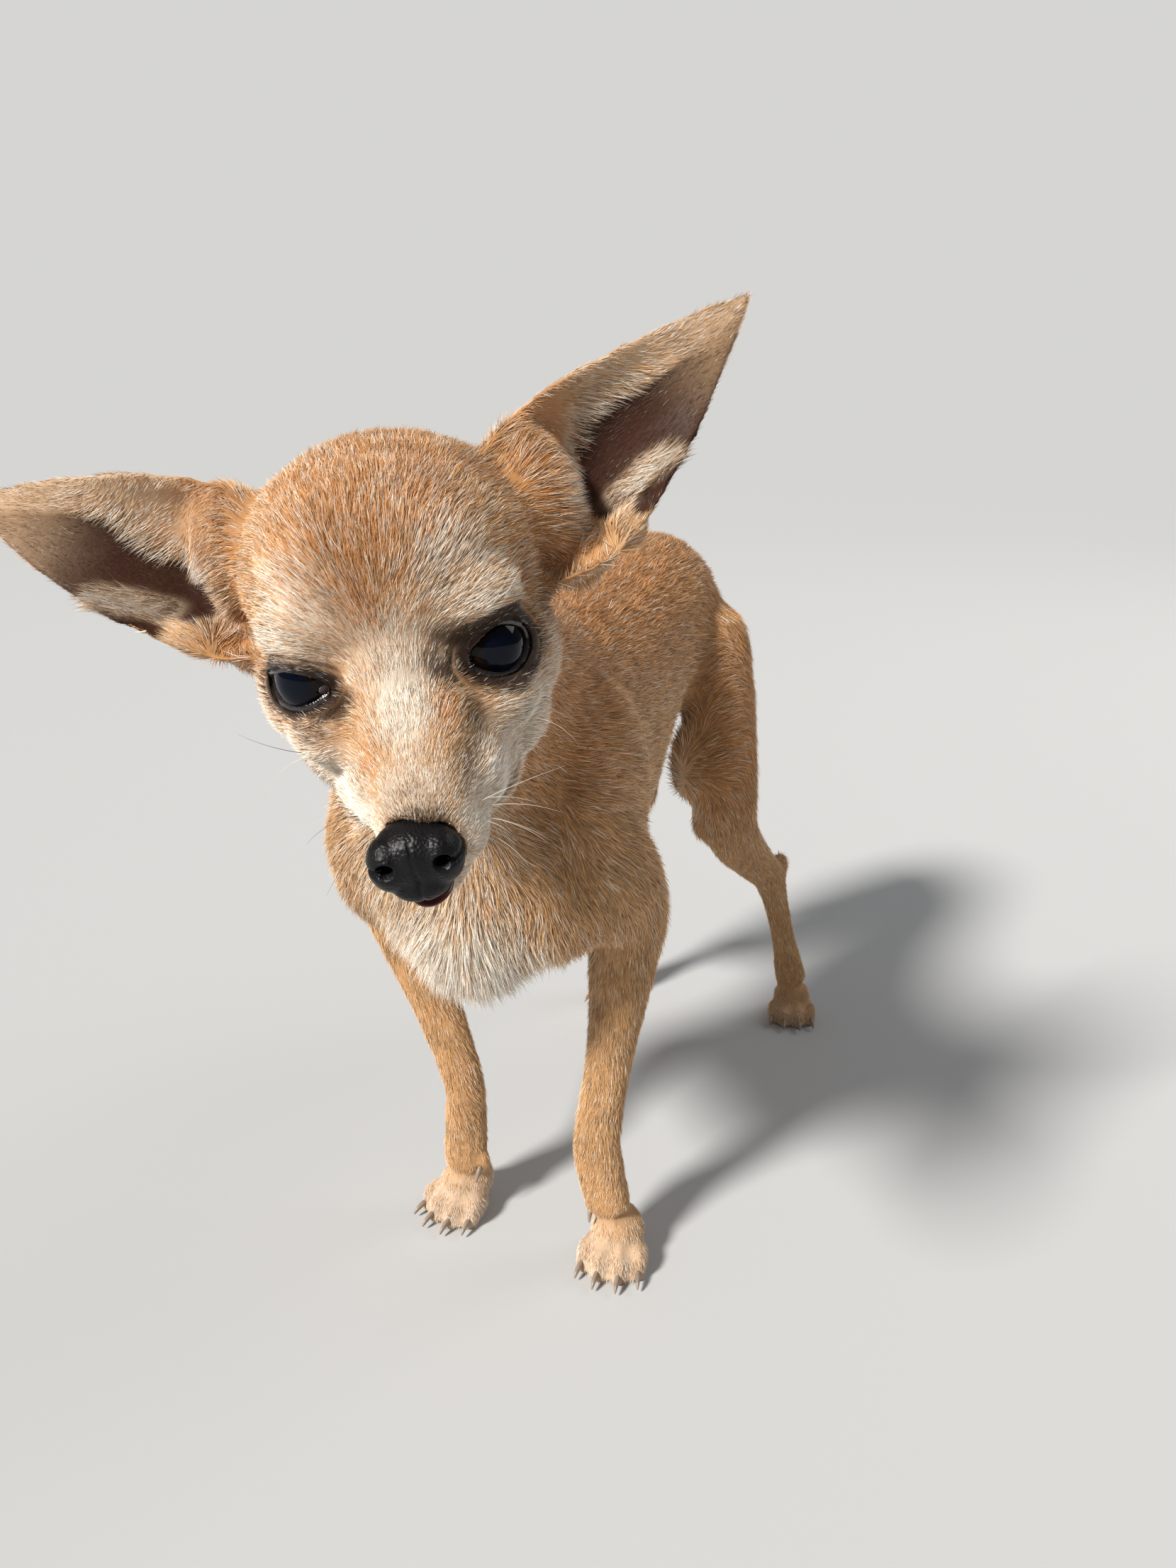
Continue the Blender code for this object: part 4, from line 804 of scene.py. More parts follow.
@dataclass(frozen=True)
class LeatherFinish:
    """Moist pebbled nose leather, or the smooth dark skin of the lids."""

    name: str
    colour: tuple[float, float, float] = (0.0032, 0.0028, 0.0032)
    roughness: float = 0.42
    pebble_scale: float = 1500.0
    pebble_depth: float = 0.00016
    coat: float = 0.0
    specular: float = 0.22

    def build(self) -> bpy.types.Material:
        """Makes the material."""
        made = bpy.data.materials.new(self.name)
        made.use_nodes = True
        nodes = Nodes(made.node_tree)
        shader = made.node_tree.nodes["Principled BSDF"]
        shader.inputs["Coat Weight"].default_value = self.coat
        shader.inputs["Coat Roughness"].default_value = 0.12
        shader.inputs["Specular IOR Level"].default_value = self.specular
        place = nodes.add("ShaderNodeTexCoord")
        cells = nodes.add("ShaderNodeTexVoronoi", feature="SMOOTH_F1")
        cells.inputs["Scale"].default_value = self.pebble_scale
        cells.inputs["Smoothness"].default_value = 0.6
        nodes.link(place.outputs["Object"], cells, "Vector")
        bump = nodes.add("ShaderNodeBump", invert=True)
        bump.inputs["Distance"].default_value = self.pebble_depth
        bump.inputs["Strength"].default_value = 0.9
        nodes.link(cells.outputs["Distance"], bump, "Height")
        nodes.link(bump.outputs[0], shader, "Normal")
        noise = nodes.add("ShaderNodeTexNoise")
        noise.inputs["Scale"].default_value = 350.0
        nodes.link(place.outputs["Object"], noise, "Vector")
        lighter = tuple(min(1.0, channel * 2.2) for channel in self.colour)
        nodes.link(nodes.mix(noise.outputs[0], self.colour, lighter), shader, "Base Color")
        nodes.link(nodes.line(noise.outputs[0], 0.25, self.roughness - 0.12), shader, "Roughness")
        return made


@dataclass(frozen=True)
class EyeFinish:
    """A dark eye with a faintly clouded pupil under a clear wet front."""

    name: str = "eye"
    pupil: tuple[float, float, float] = (0.0018, 0.0030, 0.0080)
    iris: tuple[float, float, float] = (0.0050, 0.0028, 0.0020)
    edge: tuple[float, float, float] = (0.0020, 0.0018, 0.0018)

    def build(self) -> bpy.types.Material:
        """Makes the material, which reads how far from the pupil's middle a point lies."""
        made = bpy.data.materials.new(self.name)
        made.use_nodes = True
        nodes = Nodes(made.node_tree)
        shader = made.node_tree.nodes["Principled BSDF"]
        shader.inputs["Roughness"].default_value = 0.25
        shader.inputs["Specular IOR Level"].default_value = 0.0
        shader.inputs["Coat Weight"].default_value = 1.0
        shader.inputs["Coat IOR"].default_value = 1.26
        shader.inputs["Coat Roughness"].default_value = 0.02
        pupil = nodes.add("ShaderNodeAttribute", attribute_name="from_pupil")
        split = nodes.add("ShaderNodeSeparateColor")
        nodes.link(pupil.outputs["Color"], split, 0)
        ramp = nodes.add("ShaderNodeValToRGB")
        stops = ((0.0, self.pupil), (0.46, self.pupil), (0.52, self.iris), (0.76, self.iris), (0.86, self.edge))
        while len(ramp.color_ramp.elements) < len(stops):
            ramp.color_ramp.elements.new(0.5)
        for element, (place, colour) in zip(ramp.color_ramp.elements, stops):
            element.position = place
            element.color = (*colour, 1.0)
        nodes.link(split.outputs[0], ramp, 0)
        nodes.link(ramp.outputs[0], shader, "Base Color")
        return made


@dataclass(frozen=True)
class PlainFinish:
    """Horn, whisker or tongue: one colour broken by a fine cloud."""

    name: str
    colour: tuple[float, float, float]
    darker: tuple[float, float, float]
    roughness: float
    scale: float = 400.0

    def build(self) -> bpy.types.Material:
        """Makes the material."""
        made = bpy.data.materials.new(self.name)
        made.use_nodes = True
        nodes = Nodes(made.node_tree)
        shader = made.node_tree.nodes["Principled BSDF"]
        shader.inputs["Roughness"].default_value = self.roughness
        place = nodes.add("ShaderNodeTexCoord")
        noise = nodes.add("ShaderNodeTexNoise")
        noise.inputs["Scale"].default_value = self.scale
        nodes.link(place.outputs["Object"], noise, "Vector")
        nodes.link(nodes.mix(noise.outputs[0], self.colour, self.darker), shader, "Base Color")
        return made


# Pieces of the dog


@dataclass
class Skin:
    """One skin over all the flesh nodes, inside them by the coat's depth."""

    frames: Frames
    voxel: float = 0.0010
    grow: float = 0.00035
    body_depth: float = 0.0012
    head_depth: float = 0.0007
    ear_depth: float = 0.0003
    paw_depth: float = 0.0005
    pocket_depth: float = 0.0009
    body_smoothing: int = 30
    ear_root: tuple[float, float, float] = (0.0400, 0.0370, 0.0220)
    ear_root_reach: float = 0.0190
    ear_root_smoothing: int = 60
    fine_smoothing: int = 6
    most_triangles: int = 185000

    def build(self) -> bpy.types.Object:
        """Makes the skin with its markings and returns it."""
        flesh = self._joined_flesh()
        remesh = flesh.modifiers.new("fuse", "REMESH")
        remesh.mode = "VOXEL"
        remesh.voxel_size = self.voxel * 1
        bake_modifiers(flesh)
        self._smooth(flesh)
        self._sink(flesh)
        self._thin(flesh)
        self._refine(flesh)
        self._crease_mouth(flesh)
        self._fold_lids(flesh)
        shade_smooth(flesh.data)
        fields = SkinFields(self.frames)
        marks = fields.marks(read_points(flesh), read_normals(flesh))
        write_attribute(flesh.data, "marks", marks)
        # The skin takes the colour near a hair's root: painted shade between the hairs.
        strand = np.tile(np.array([0.20, 0.45, 0.0, 1.0]), (len(marks), 1))
        strand[:, :2] *= 1 - fields.lid_rims(read_points(flesh))[:, None]
        write_attribute(flesh.data, "strand", strand)
        mesh = flesh.data
        bpy.data.objects.remove(flesh)
        return new_piece("skin", mesh, FurFinish("skin", specular=0.08, sheen=0.0).build(False), FLESH)

    def _joined_flesh(self) -> bpy.types.Object:
        """All flesh nodes in one mesh, each a little swollen so that the thin gaps close."""
        bm = bmesh.new()
        for name in FLESH:
            part = bmesh.new()
            part.from_mesh(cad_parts[name].data)
            bmesh.ops.remove_doubles(part, verts=part.verts, dist=1e-6)
            part.normal_update()
            moves = [vert.normal * self.grow * min(vert.calc_shell_factor(), 2.0) for vert in part.verts]
            for vert, move in zip(part.verts, moves):
                vert.co += move
            swollen = bpy.data.meshes.new("swollen")
            part.to_mesh(swollen)
            part.free()
            bm.from_mesh(swollen)
            bpy.data.meshes.remove(swollen)
        mesh = bpy.data.meshes.new("skin")
        bm.to_mesh(mesh)
        bm.free()
        obj = bpy.data.objects.new("flesh", mesh)
        bpy.context.scene.collection.objects.link(obj)
        return obj

    def _body_share(self, points: np.ndarray) -> np.ndarray:
        """1 on the trunk and upper legs, 0 on the head, ears and feet."""
        local = self.frames.local(points, Place.HEAD)
        head = np.linalg.norm((local - (0, 0.012, 0)) / (0.10, 0.075, 0.070), axis=1)
        return smoothstep(0.9, 1.15, head) * smoothstep(0.030, 0.060, points[:, 2])

    def _smooth(self, obj: bpy.types.Object) -> None:
        """Rounds off the solids' facets, most on the trunk."""
        points = read_points(obj)
        share = self._body_share(points)
        local = self.frames.local(points, Place.HEAD)
        away = np.minimum.reduce([np.linalg.norm(local - np.array(mirrored(self.ear_root, side)), axis=1) for side in (1, -1)])
        roots = smoothstep(self.ear_root_reach, 0.5 * self.ear_root_reach, away)
        for iterations, group in (
            (self.body_smoothing, weigh(obj, "body", share)),
            (self.ear_root_smoothing, weigh(obj, "ear_roots", roots)),
            (self.fine_smoothing, ""),
        ):
            smooth = obj.modifiers.new("smooth", "SMOOTH")
            smooth.iterations = iterations
            smooth.vertex_group = group
        bake_modifiers(obj)
        obj.vertex_groups.clear()

    def _sink(self, obj: bpy.types.Object) -> None:
        """Takes the skin back to the solids' surface and in by the coat's depth."""
        points = read_points(obj)
        share = self._body_share(points)
        depth = self.head_depth + (self.body_depth - self.head_depth) * share
        depth = np.where(points[:, 2] < 0.032, self.paw_depth, depth)
        normals = read_normals(obj)
        for name in SIDES:
            ear = EarView.read(self.frames, points, normals, name)
            depth = depth * (1 - ear.mask) + (self.ear_depth + self.pocket_depth * ear.pocket) * ear.mask
        moved = points - normals * (self.grow + depth)[:, None]
        moved[:, 2] = np.maximum(moved[:, 2], 0.0002)
        write_points(obj, moved)

    def _thin(self, obj: bpy.types.Object) -> None:
        """Keeps the skin under its limit of triangles, with the head left fine."""
        now = sum(len(face.vertices) - 2 for face in obj.data.polygons)
        if now > self.most_triangles:
            thin = obj.modifiers.new("thin", "DECIMATE")
            thin.ratio = self.most_triangles / now
            thin.vertex_group = weigh(obj, "body", np.clip(self._body_share(read_points(obj)) + 0.1, 0, 1))
            bake_modifiers(obj)
            obj.vertex_groups.clear()
        bm = bmesh.new()
        bm.from_mesh(obj.data)
        bmesh.ops.triangulate(bm, faces=bm.faces)
        bm.to_mesh(obj.data)
        bm.free()

    def _refine(self, obj: bpy.types.Object) -> None:
        """Splits the triangles around the eyes and on the muzzle, where the folds are fine."""
        local = self.frames.local(read_points(obj), Place.HEAD)
        near = np.linalg.norm((local - (0, -0.030, -0.026)) / (0.015, 0.022, 0.017), axis=1) < 1
        for side in SIDES.values():
            eye = eye_local(local, side)
            near |= (LIDS[side].swell(eye) < 0.007) & (eye[:, 2] > 0) & (np.linalg.norm(eye, axis=1) < 0.016)
        bm = bmesh.new()
        bm.from_mesh(obj.data)
        edges = [edge for edge in bm.edges if near[edge.verts[0].index] and near[edge.verts[1].index]]
        bmesh.ops.subdivide_edges(bm, edges=edges, cuts=1, use_grid_fill=True, smooth=0.3)
        bmesh.ops.triangulate(bm, faces=bm.faces)
        bm.to_mesh(obj.data)
        bm.free()

    def _fold_lids(self, obj: bpy.types.Object) -> None:
        """Adds the crease over each eye, the pouch and crease under it, and lifts the lids' edges."""
        points = read_points(obj)
        local = self.frames.local(points, Place.HEAD)
        height = np.zeros(len(points))
        for side in SIDES.values():
            eye = eye_local(local, side)
            swell = LIDS[side].swell(eye)
            near = (eye[:, 2] > 0) * smoothstep(0.024, 0.016, np.linalg.norm(eye, axis=1))
            above = smoothstep(-0.001, 0.002, eye[:, 1])
            tight = 1.5 if side < 0 else 1.0
            folds = (
                (above, 0.0036, 0.0007, -0.00055 * tight),
                (above, 0.0055, 0.0012, 0.00045),
                (1 - above, 0.0028, 0.0010, 0.00035 * tight),
                (1 - above, 0.0046, 0.0008, -0.00045 * tight),
            )
            for share, middle, width, lift in folds:
                height += near * share * lift * np.exp(-(((swell - middle) / width) ** 2))
        write_points(obj, points + read_normals(obj) * height[:, None])

    def _crease_mouth(self, obj: bpy.types.Object) -> None:
        """Presses the line of the mouth into the lips."""
        points = read_points(obj)
        local = self.frames.local(points, Place.HEAD)
        height = mouth_height(local)
        ends = smoothstep(-0.047, -0.042, local[:, 1]) * smoothstep(-0.001, -0.005, local[:, 1])
        depth = 0.0009 * np.exp(-((height / 0.0006) ** 2)) * ends
        write_points(obj, points - read_normals(obj) * depth[:, None])


@dataclass
class Coat:
    """The short coat: thin tapered tufts that lie along the body, in pieces small enough to export."""

    frames: Frames
    skin: bpy.types.Object
    amount: float = 1.0
    most_tufts: int = 49000
    patch: float = 0.003
    sink: float = 0.0002
    pale_chance: float = 0.27
    dark_chance: float = 0.12

    def build(self) -> list[bpy.types.Object]:
        """Grows the coat on the skin and returns its pieces."""
        rng = np.random.default_rng(SEED)
        roots = self._roots(rng)
        keep = self._allowed(roots["point"])
        roots = {name: values[keep] for name, values in roots.items()}
        order = np.argsort(self._region(roots["point"]), kind="stable")
        roots = {name: values[order] for name, values in roots.items()}
        finish = FurFinish().build(True)
        made = []
        count = len(order)
        pieces = math.ceil(count / self.most_tufts)
        for number, chosen in enumerate(np.array_split(np.arange(count), pieces), 1):
            mesh = self._tuft_mesh({name: values[chosen] for name, values in roots.items()})
            made.append(new_piece(f"coat_{number}", mesh, finish))
        return made

    def _region(self, points: np.ndarray) -> np.ndarray:
        """Sorts the tufts from the head to the tail, so that each piece holds one stretch of the body."""
        return np.round(self.frames.local(points, Place.BODY)[:, 1], 2)

    def _skin_uv(self) -> np.ndarray:
        """An unwrap of the skin, as two numbers for each corner of each triangle."""
        for obj in bpy.context.selected_objects:
            obj.select_set(False)
        bpy.context.view_layer.objects.active = self.skin
        self.skin.select_set(True)
        self.skin.data.uv_layers.new(name="OFBake")
        bpy.ops.object.mode_set(mode="EDIT")
        bpy.ops.mesh.select_all(action="SELECT")
        bpy.ops.uv.smart_project(angle_limit=math.radians(66), island_margin=0.002)
        bpy.ops.object.mode_set(mode="OBJECT")
        flat = np.empty(len(self.skin.data.loops) * 2, np.float32)
        self.skin.data.uv_layers["OFBake"].data.foreach_get("uv", flat)
        return flat.reshape(-1, 3, 2).astype(float)

    def _roots(self, rng: np.random.Generator) -> dict[str, np.ndarray]:
        """Spreads the roots over the skin as densely as each region asks, and reads the skin there."""
        mesh = self.skin.data
        corners = np.empty(len(mesh.loops), np.int32)
        mesh.loops.foreach_get("vertex_index", corners)
        corners = corners.reshape(-1, 3)
        points, normals = read_points(self.skin), read_normals(self.skin)
        fields = SkinFields(self.frames)
        growth = fields.growth(points, normals)
        lie = fields.lie(points, normals)
        marks = fields.marks(points, normals)
        corner_points = points[corners]
        cross = np.cross(corner_points[:, 1] - corner_points[:, 0], corner_points[:, 2] - corner_points[:, 0])
        area = np.linalg.norm(cross, axis=1) / 2
        wanted = np.cumsum(area * growth[corners, 3].mean(1)) * self.amount
        count = int(wanted[-1])
        face = np.searchsorted(wanted, (np.arange(count) + rng.random(count)) * wanted[-1] / count)
        share = rng.random((count, 2))
        share = np.where(share.sum(1, keepdims=True) > 1, 1 - share, share)
        weights = np.column_stack([1 - share.sum(1), share])[:, :, None]
        uv = self._skin_uv()

        def read(values: np.ndarray) -> np.ndarray:
            return (values[corners[face]] * weights).sum(1)

        return {
            "point": read(points),
            "normal": unit(read(normals)),
            "lie": read(lie),
            "growth": read(growth),
            "marks": read(marks),
            "uv": (uv[face] * weights).sum(1),
            "chance": rng.random((count, 4)),
            "sway": rng.normal(size=(count, 3)),
        }

    def _allowed(self, points: np.ndarray) -> np.ndarray:
        """Which roots lie on skin that grows hair, clear of the eyes, nose, tongue, pads and claws."""
        local = self.frames.local(points, Place.HEAD)
        keep = points[:, 2] > 0.0022
        for side in SIDES.values():
            eye = eye_local(local, side)
            rim = 0.0003 + 0.0009 * smoothstep(0.0, -0.003, eye[:, 1])
            keep &= (LIDS[side].swell(eye) > rim) | (eye[:, 2] < 0)
            keep &= np.linalg.norm(eye, axis=1) > EYE_RADIUS + 0.0010
        nose = (local - np.array(NOSE_CENTRE)) / (0.0088, 0.0058, 0.0064)
        tongue = (local - np.array(Mouth.centre)) / Mouth.radii
        keep &= (np.linalg.norm(nose, axis=1) > 1.0) & (np.linalg.norm(tongue, axis=1) > 1.0)
        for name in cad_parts:
            if name.startswith("claw"):
                low, high = (np.array(corner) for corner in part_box(name))
                keep &= ~((points > low - 0.0001) & (points < high + 0.0001)).all(1)
        return keep

    def _tuft_mesh(self, roots: dict[str, np.ndarray]) -> bpy.types.Mesh:
        """Builds one piece of the coat: a slim closed spike at each root."""
        count = len(roots["point"])
        normal, chance, sway = roots["normal"], roots["chance"], roots["sway"]
        length, width, lift, _ = roots["growth"].T
        swirl = ripple(roots["point"], 0.016, 3)[:, None] * 0.14 + sway[:, :1] * 0.14
        side = unit(np.cross(roots["lie"], normal))
        heading = unit(roots["lie"] + side * swirl)
        lift = np.radians(lift * (1 + 0.35 * sway[:, 1]) + 3 * ripple(roots["point"], 0.008, 5))
        lift = np.clip(lift, math.radians(3), math.radians(60))[:, None]
        hair = heading * np.cos(lift) + normal * np.sin(lift)
        across = unit(np.cross(hair, normal))
        rise = np.cross(across, hair)
        length = (length * (0.72 + 0.5 * chance[:, 0]))[:, None]
        width = (width * (0.75 + 0.5 * chance[:, 1]))[:, None]
        foot = roots["point"] - normal * self.sink
        corners = np.stack(
            [foot - across * width / 2, foot + across * width / 2, foot + rise * width * 0.45, foot + hair * length], axis=1
        )
        shape = np.array([[0, 3, 2], [1, 2, 3], [0, 1, 3], [0, 2, 1]])
        faces = (np.arange(count)[:, None, None] * 4 + shape).reshape(-1, 3)
        mesh = bpy.data.meshes.new("tufts")
        mesh.from_pydata(corners.reshape(-1, 3), [], faces)
        write_attribute(mesh, "marks", np.repeat(self._tuft_marks(roots), 4, axis=0))
        strand = np.zeros((count, 4, 4))
        strand[:, 3, 0] = 1.0
        strand[:, :, 1] = chance[:, 3, None]
        write_attribute(mesh, "strand", strand.reshape(-1, 4))
        spread = np.array([[-0.5, -0.5], [0.5, -0.5], [0.0, -0.3], [0.0, 0.5]]) * self.patch
        uv = (np.clip(roots["uv"], self.patch, 1 - self.patch)[:, None] + spread).reshape(-1, 2)
        layer = mesh.uv_layers.new(name="OFBake")
        layer.data.foreach_set("uv", uv[faces.ravel()].astype(np.float32).ravel())
        return mesh

    def _tuft_marks(self, roots: dict[str, np.ndarray]) -> np.ndarray:
        """The markings of each tuft: the skin's own, broken into single pale, tan and dark hairs."""
        marks = roots["marks"].copy()
        draw = roots["chance"][:, 2]
        local = self.frames.local(roots["point"], Place.HEAD)
        face = smoothstep(0.085, 0.050, np.linalg.norm(local, axis=1))
        pale, dark = marks[:, Mark.PALE.value], marks[:, Mark.DARK.value]
        cloud = 0.08 * ripple(roots["point"], 0.004, 8) + 0.06 * ripple(roots["point"], 0.0015, 9)
        share = np.clip(pale * 0.75 + self.pale_chance * (0.35 + 0.65 * face) + cloud, 0, 1)
        share *= (1 - 0.85 * marks[:, Mark.BARE.value]) * (1 - 0.75 * dark)
        chosen = draw < share
        marks[:, Mark.PALE.value] = np.where(chosen, 0.70 + 0.30 * pale, 0.15 * pale)
        streak = roots["chance"][:, 0] > 1 - self.dark_chance - 0.25 * dark - 0.15 * pale * face
        marks[:, Mark.DARK.value] = np.clip(dark * np.where(chosen, 0.45, 1.0) + streak * 0.35, 0, 1)
        marks[:, Mark.BARE.value] *= 0.30
        return np.clip(marks, 0, 1)


@dataclass
class Eyes:
    """Both eyeballs, and the dark wet edges of their lids."""

    frames: Frames
    bulge: float = 0.0006
    bulge_from: float = 0.72
    loop_points: int = 72
    profile: tuple[tuple[float, float], ...] = (
        (-0.0002, -0.0002),
        (-0.0001, 0.0003),
        (0.0001, 0.0006),
        (0.0004, 0.0009),
        (0.0008, 0.0011),
        (0.0012, 0.0013),
        (0.0017, 0.0012),
        (0.0023, 0.0007),
        (0.0029, -0.0004),
    )
    caruncle: tuple[float, float, float] = (0.0016, 0.0010, 0.0003)

    def build(self) -> None:
        """Makes the eyeballs and the lids' edges."""
        ball = EyeFinish().build()
        edge = LeatherFinish("lid_edge", (0.010, 0.007, 0.007), 0.24, 1800.0, 0.00014, 0.6, 0.45).build()
        corner = PlainFinish("caruncle", (0.11, 0.075, 0.080), (0.03, 0.020, 0.022), 0.35, 900.0).build()
        for name, side in SIDES.items():
            new_piece(f"eyeball_{name}", self._ball(side), ball, (f"eye_{name}",))
            new_piece(f"lid_edge_{name}", self._lids(side), edge)
        new_piece("caruncle_right", self._caruncle(SIDES["right"]), corner)

    def _ball(self, side: int) -> bpy.types.Mesh:
        """An eyeball that knows how far each point lies from the pupil's middle."""
        bm = bmesh.new()
        bmesh.ops.create_uvsphere(bm, u_segments=64, v_segments=48, radius=EYE_RADIUS)
        heights = [vert.co.z / EYE_RADIUS for vert in bm.verts]
        for vert, height in zip(bm.verts, heights):
            swell = max(0.0, height - self.bulge_from) / (1 - self.bulge_from)
            vert.co.z += self.bulge * swell * swell * (3 - 2 * swell)
        bm.transform(self.frames.head @ eye_frame(side))
        bmesh.ops.recalc_face_normals(bm, faces=bm.faces)
        mesh = bpy.data.meshes.new("eyeball")
        bm.to_mesh(mesh)
        bm.free()
        angle = np.arccos(np.clip(heights, -1, 1)) / (math.pi / 3)
        write_attribute(mesh, "from_pupil", np.repeat(angle[:, None], 4, axis=1))
        shade_smooth(mesh)
        return mesh

    def _caruncle(self, side: int) -> bpy.types.Mesh:
        """The small fleshy bead in the inner corner of the lids."""
        line = LIDS[side]
        bm = bmesh.new()
        place = Matrix.Translation(line.on_eye(math.pi * 1.06, -0.0009, 0.0001))
        lean = Matrix.Rotation(-line.wrap * line.half_width / EYE_RADIUS, 4, "Y")
        bmesh.ops.create_icosphere(bm, subdivisions=3, radius=1, matrix=place @ lean @ Matrix.Diagonal((*self.caruncle, 1)))
        bm.transform(self.frames.head @ eye_frame(side))
        bmesh.ops.recalc_face_normals(bm, faces=bm.faces)
        mesh = bpy.data.meshes.new("caruncle")
        bm.to_mesh(mesh)
        bm.free()
        shade_smooth(mesh)
        return mesh

    def _lids(self, side: int) -> bpy.types.Mesh:
        """The lids' edges: loops around the opening, from the eyeball up over the rim and down under the skin."""
        bm = bmesh.new()
        line = LIDS[side]
        loops = []
        for swell, height in self.profile:
            ring = bmesh.ops.create_circle(bm, segments=self.loop_points, radius=1)["verts"]
            for vert in ring:
                angle = math.atan2(vert.co.y, vert.co.x)
                lower = max(0.0, -math.sin(angle))
                thick = 1 + (line.lower_rim - 1) * lower
                wave = 1 + 0.10 * math.sin(9 * angle + side) + 0.07 * math.sin(17 * angle)
                vert.co = line.on_eye(angle, swell * thick * wave, height * wave * (1 + 0.3 * lower))
            loops.append(list(dict.fromkeys(edge for vert in ring for edge in vert.link_edges)))
        for one, two in zip(loops, loops[1:]):
            bmesh.ops.bridge_loops(bm, edges=one + two)
        bm.transform(self.frames.head @ eye_frame(side))
        bmesh.ops.recalc_face_normals(bm, faces=bm.faces)
        outward = self.frames.head.to_3x3() @ eye_frame(side).to_3x3().col[2]
        if sum((face.normal.dot(outward) * face.calc_area() for face in bm.faces), 0.0) < 0:
            bmesh.ops.reverse_faces(bm, faces=bm.faces)
        mesh = bpy.data.meshes.new("lids")
        bm.to_mesh(mesh)
        bm.free()
        shade_smooth(mesh)
        return mesh


@dataclass
class Nose:
    """The nose leather: rounded wings, comma-shaped nostrils and the groove between them."""

    frames: Frames
    voxel: float = 0.00030
    lumps: tuple[tuple[tuple[float, float, float], tuple[float, float, float]], ...] = (
        ((0.0, 0.0, -0.0006), (0.0087, 0.0061, 0.0071)),
        ((0.0052, -0.0006, -0.0006), (0.0048, 0.0057, 0.0061)),
        ((-0.0052, -0.0006, -0.0006), (0.0048, 0.0057, 0.0061)),
        ((0.0, 0.0018, 0.0032), (0.0073, 0.0049, 0.0035)),
        ((0.0, -0.0012, -0.0060), (0.0063, 0.0047, 0.0037)),
    )
    nostril: tuple[float, float] = (0.0058, 0.0005)
    nostril_radii: tuple[float, float] = (0.0018, 0.0015)
    nostril_depth: float = 0.0045
    slit_depth: float = 0.0020
    groove_depth: float = 0.0006

    def build(self) -> bpy.types.Object:
        """Makes the nose and returns it."""
        bm = bmesh.new()
        for centre, radii in self.lumps:
            matrix = Matrix.Translation(centre) @ Matrix.Diagonal((*radii, 1))
            bmesh.ops.create_icosphere(bm, subdivisions=4, radius=1, matrix=matrix)
        mesh = bpy.data.meshes.new("nose_leather")
        bm.to_mesh(mesh)
        bm.free()
        obj = bpy.data.objects.new("lumps", mesh)
        bpy.context.scene.collection.objects.link(obj)
        remesh = obj.modifiers.new("fuse", "REMESH")
        remesh.mode = "VOXEL"
        remesh.voxel_size = self.voxel
        smooth = obj.modifiers.new("smooth", "SMOOTH")
        smooth.iterations = 40
        bake_modifiers(obj)
        self._carve(obj)
        smooth = obj.modifiers.new("smooth", "SMOOTH")
        smooth.iterations = 2
        bake_modifiers(obj)
        mesh = obj.data
        bpy.data.objects.remove(obj)
        mesh.transform(self.frames.head @ Matrix.Translation(NOSE_CENTRE))
        shade_smooth(mesh)
        return new_piece("nose_tip", mesh, LeatherFinish("nose_leather").build(), ("nose",))

    def _carve(self, obj: bpy.types.Object) -> None:
        """Sinks the nostrils with their outward slits, and the groove down the middle."""
        points = read_points(obj)
        x, y, z = np.abs(points[:, 0]), points[:, 1], points[:, 2]
        front = smoothstep(0.0005, -0.0020, y)
        hole = np.hypot((x - self.nostril[0]) / self.nostril_radii[0], (z - self.nostril[1]) / self.nostril_radii[1])
        curve = self.nostril[1] - 0.0004 - 14.0 * (x - self.nostril[0] - 0.001) ** 2 * 2
        slit = np.exp(-(((z - curve) / 0.00055) ** 2)) * smoothstep(self.nostril[0] - 0.0006, self.nostril[0] + 0.0008, x)
        groove = np.exp(-((x / 0.00040) ** 2)) * (0.35 + 0.65 * smoothstep(0.0008, -0.0016, z))
        depth = self.nostril_depth * smoothstep(1.15, 0.45, hole) * front
        points[:, 1] += depth + self.groove_depth * groove * front
        inward = slit * self.slit_depth * smoothstep(0.004, 0.0005, y) * (1 - smoothstep(1.15, 0.45, hole))
        points[:, 0] -= np.sign(points[:, 0]) * inward * 0.6
        points[:, 1] += inward * 0.8
        write_points(obj, points)


@dataclass
class Mouth:
    """The tip of the tongue that shows between the lips."""

    frames: Frames
    centre: tuple[float, float, float] = (-0.0002, -0.0328, -0.0363)
    radii: tuple[float, float, float] = (0.0050, 0.0072, 0.0014)

    def build(self) -> bpy.types.Object:
        """Makes the tongue's tip and returns it."""
        bm = bmesh.new()
        place = Matrix.Translation(self.centre) @ Matrix.Rotation(math.radians(6), 4, "X")
        bmesh.ops.create_icosphere(bm, subdivisions=4, radius=1, matrix=self.frames.head @ place @ Matrix.Diagonal((*self.radii, 1)))
        mesh = bpy.data.meshes.new("tongue")
        bm.to_mesh(mesh)
        bm.free()
        shade_smooth(mesh)
        finish = PlainFinish("tongue", (0.11, 0.028, 0.024), (0.05, 0.014, 0.013), 0.25, 700.0).build()
        return new_piece("tongue_tip", mesh, finish, ("tongue",))


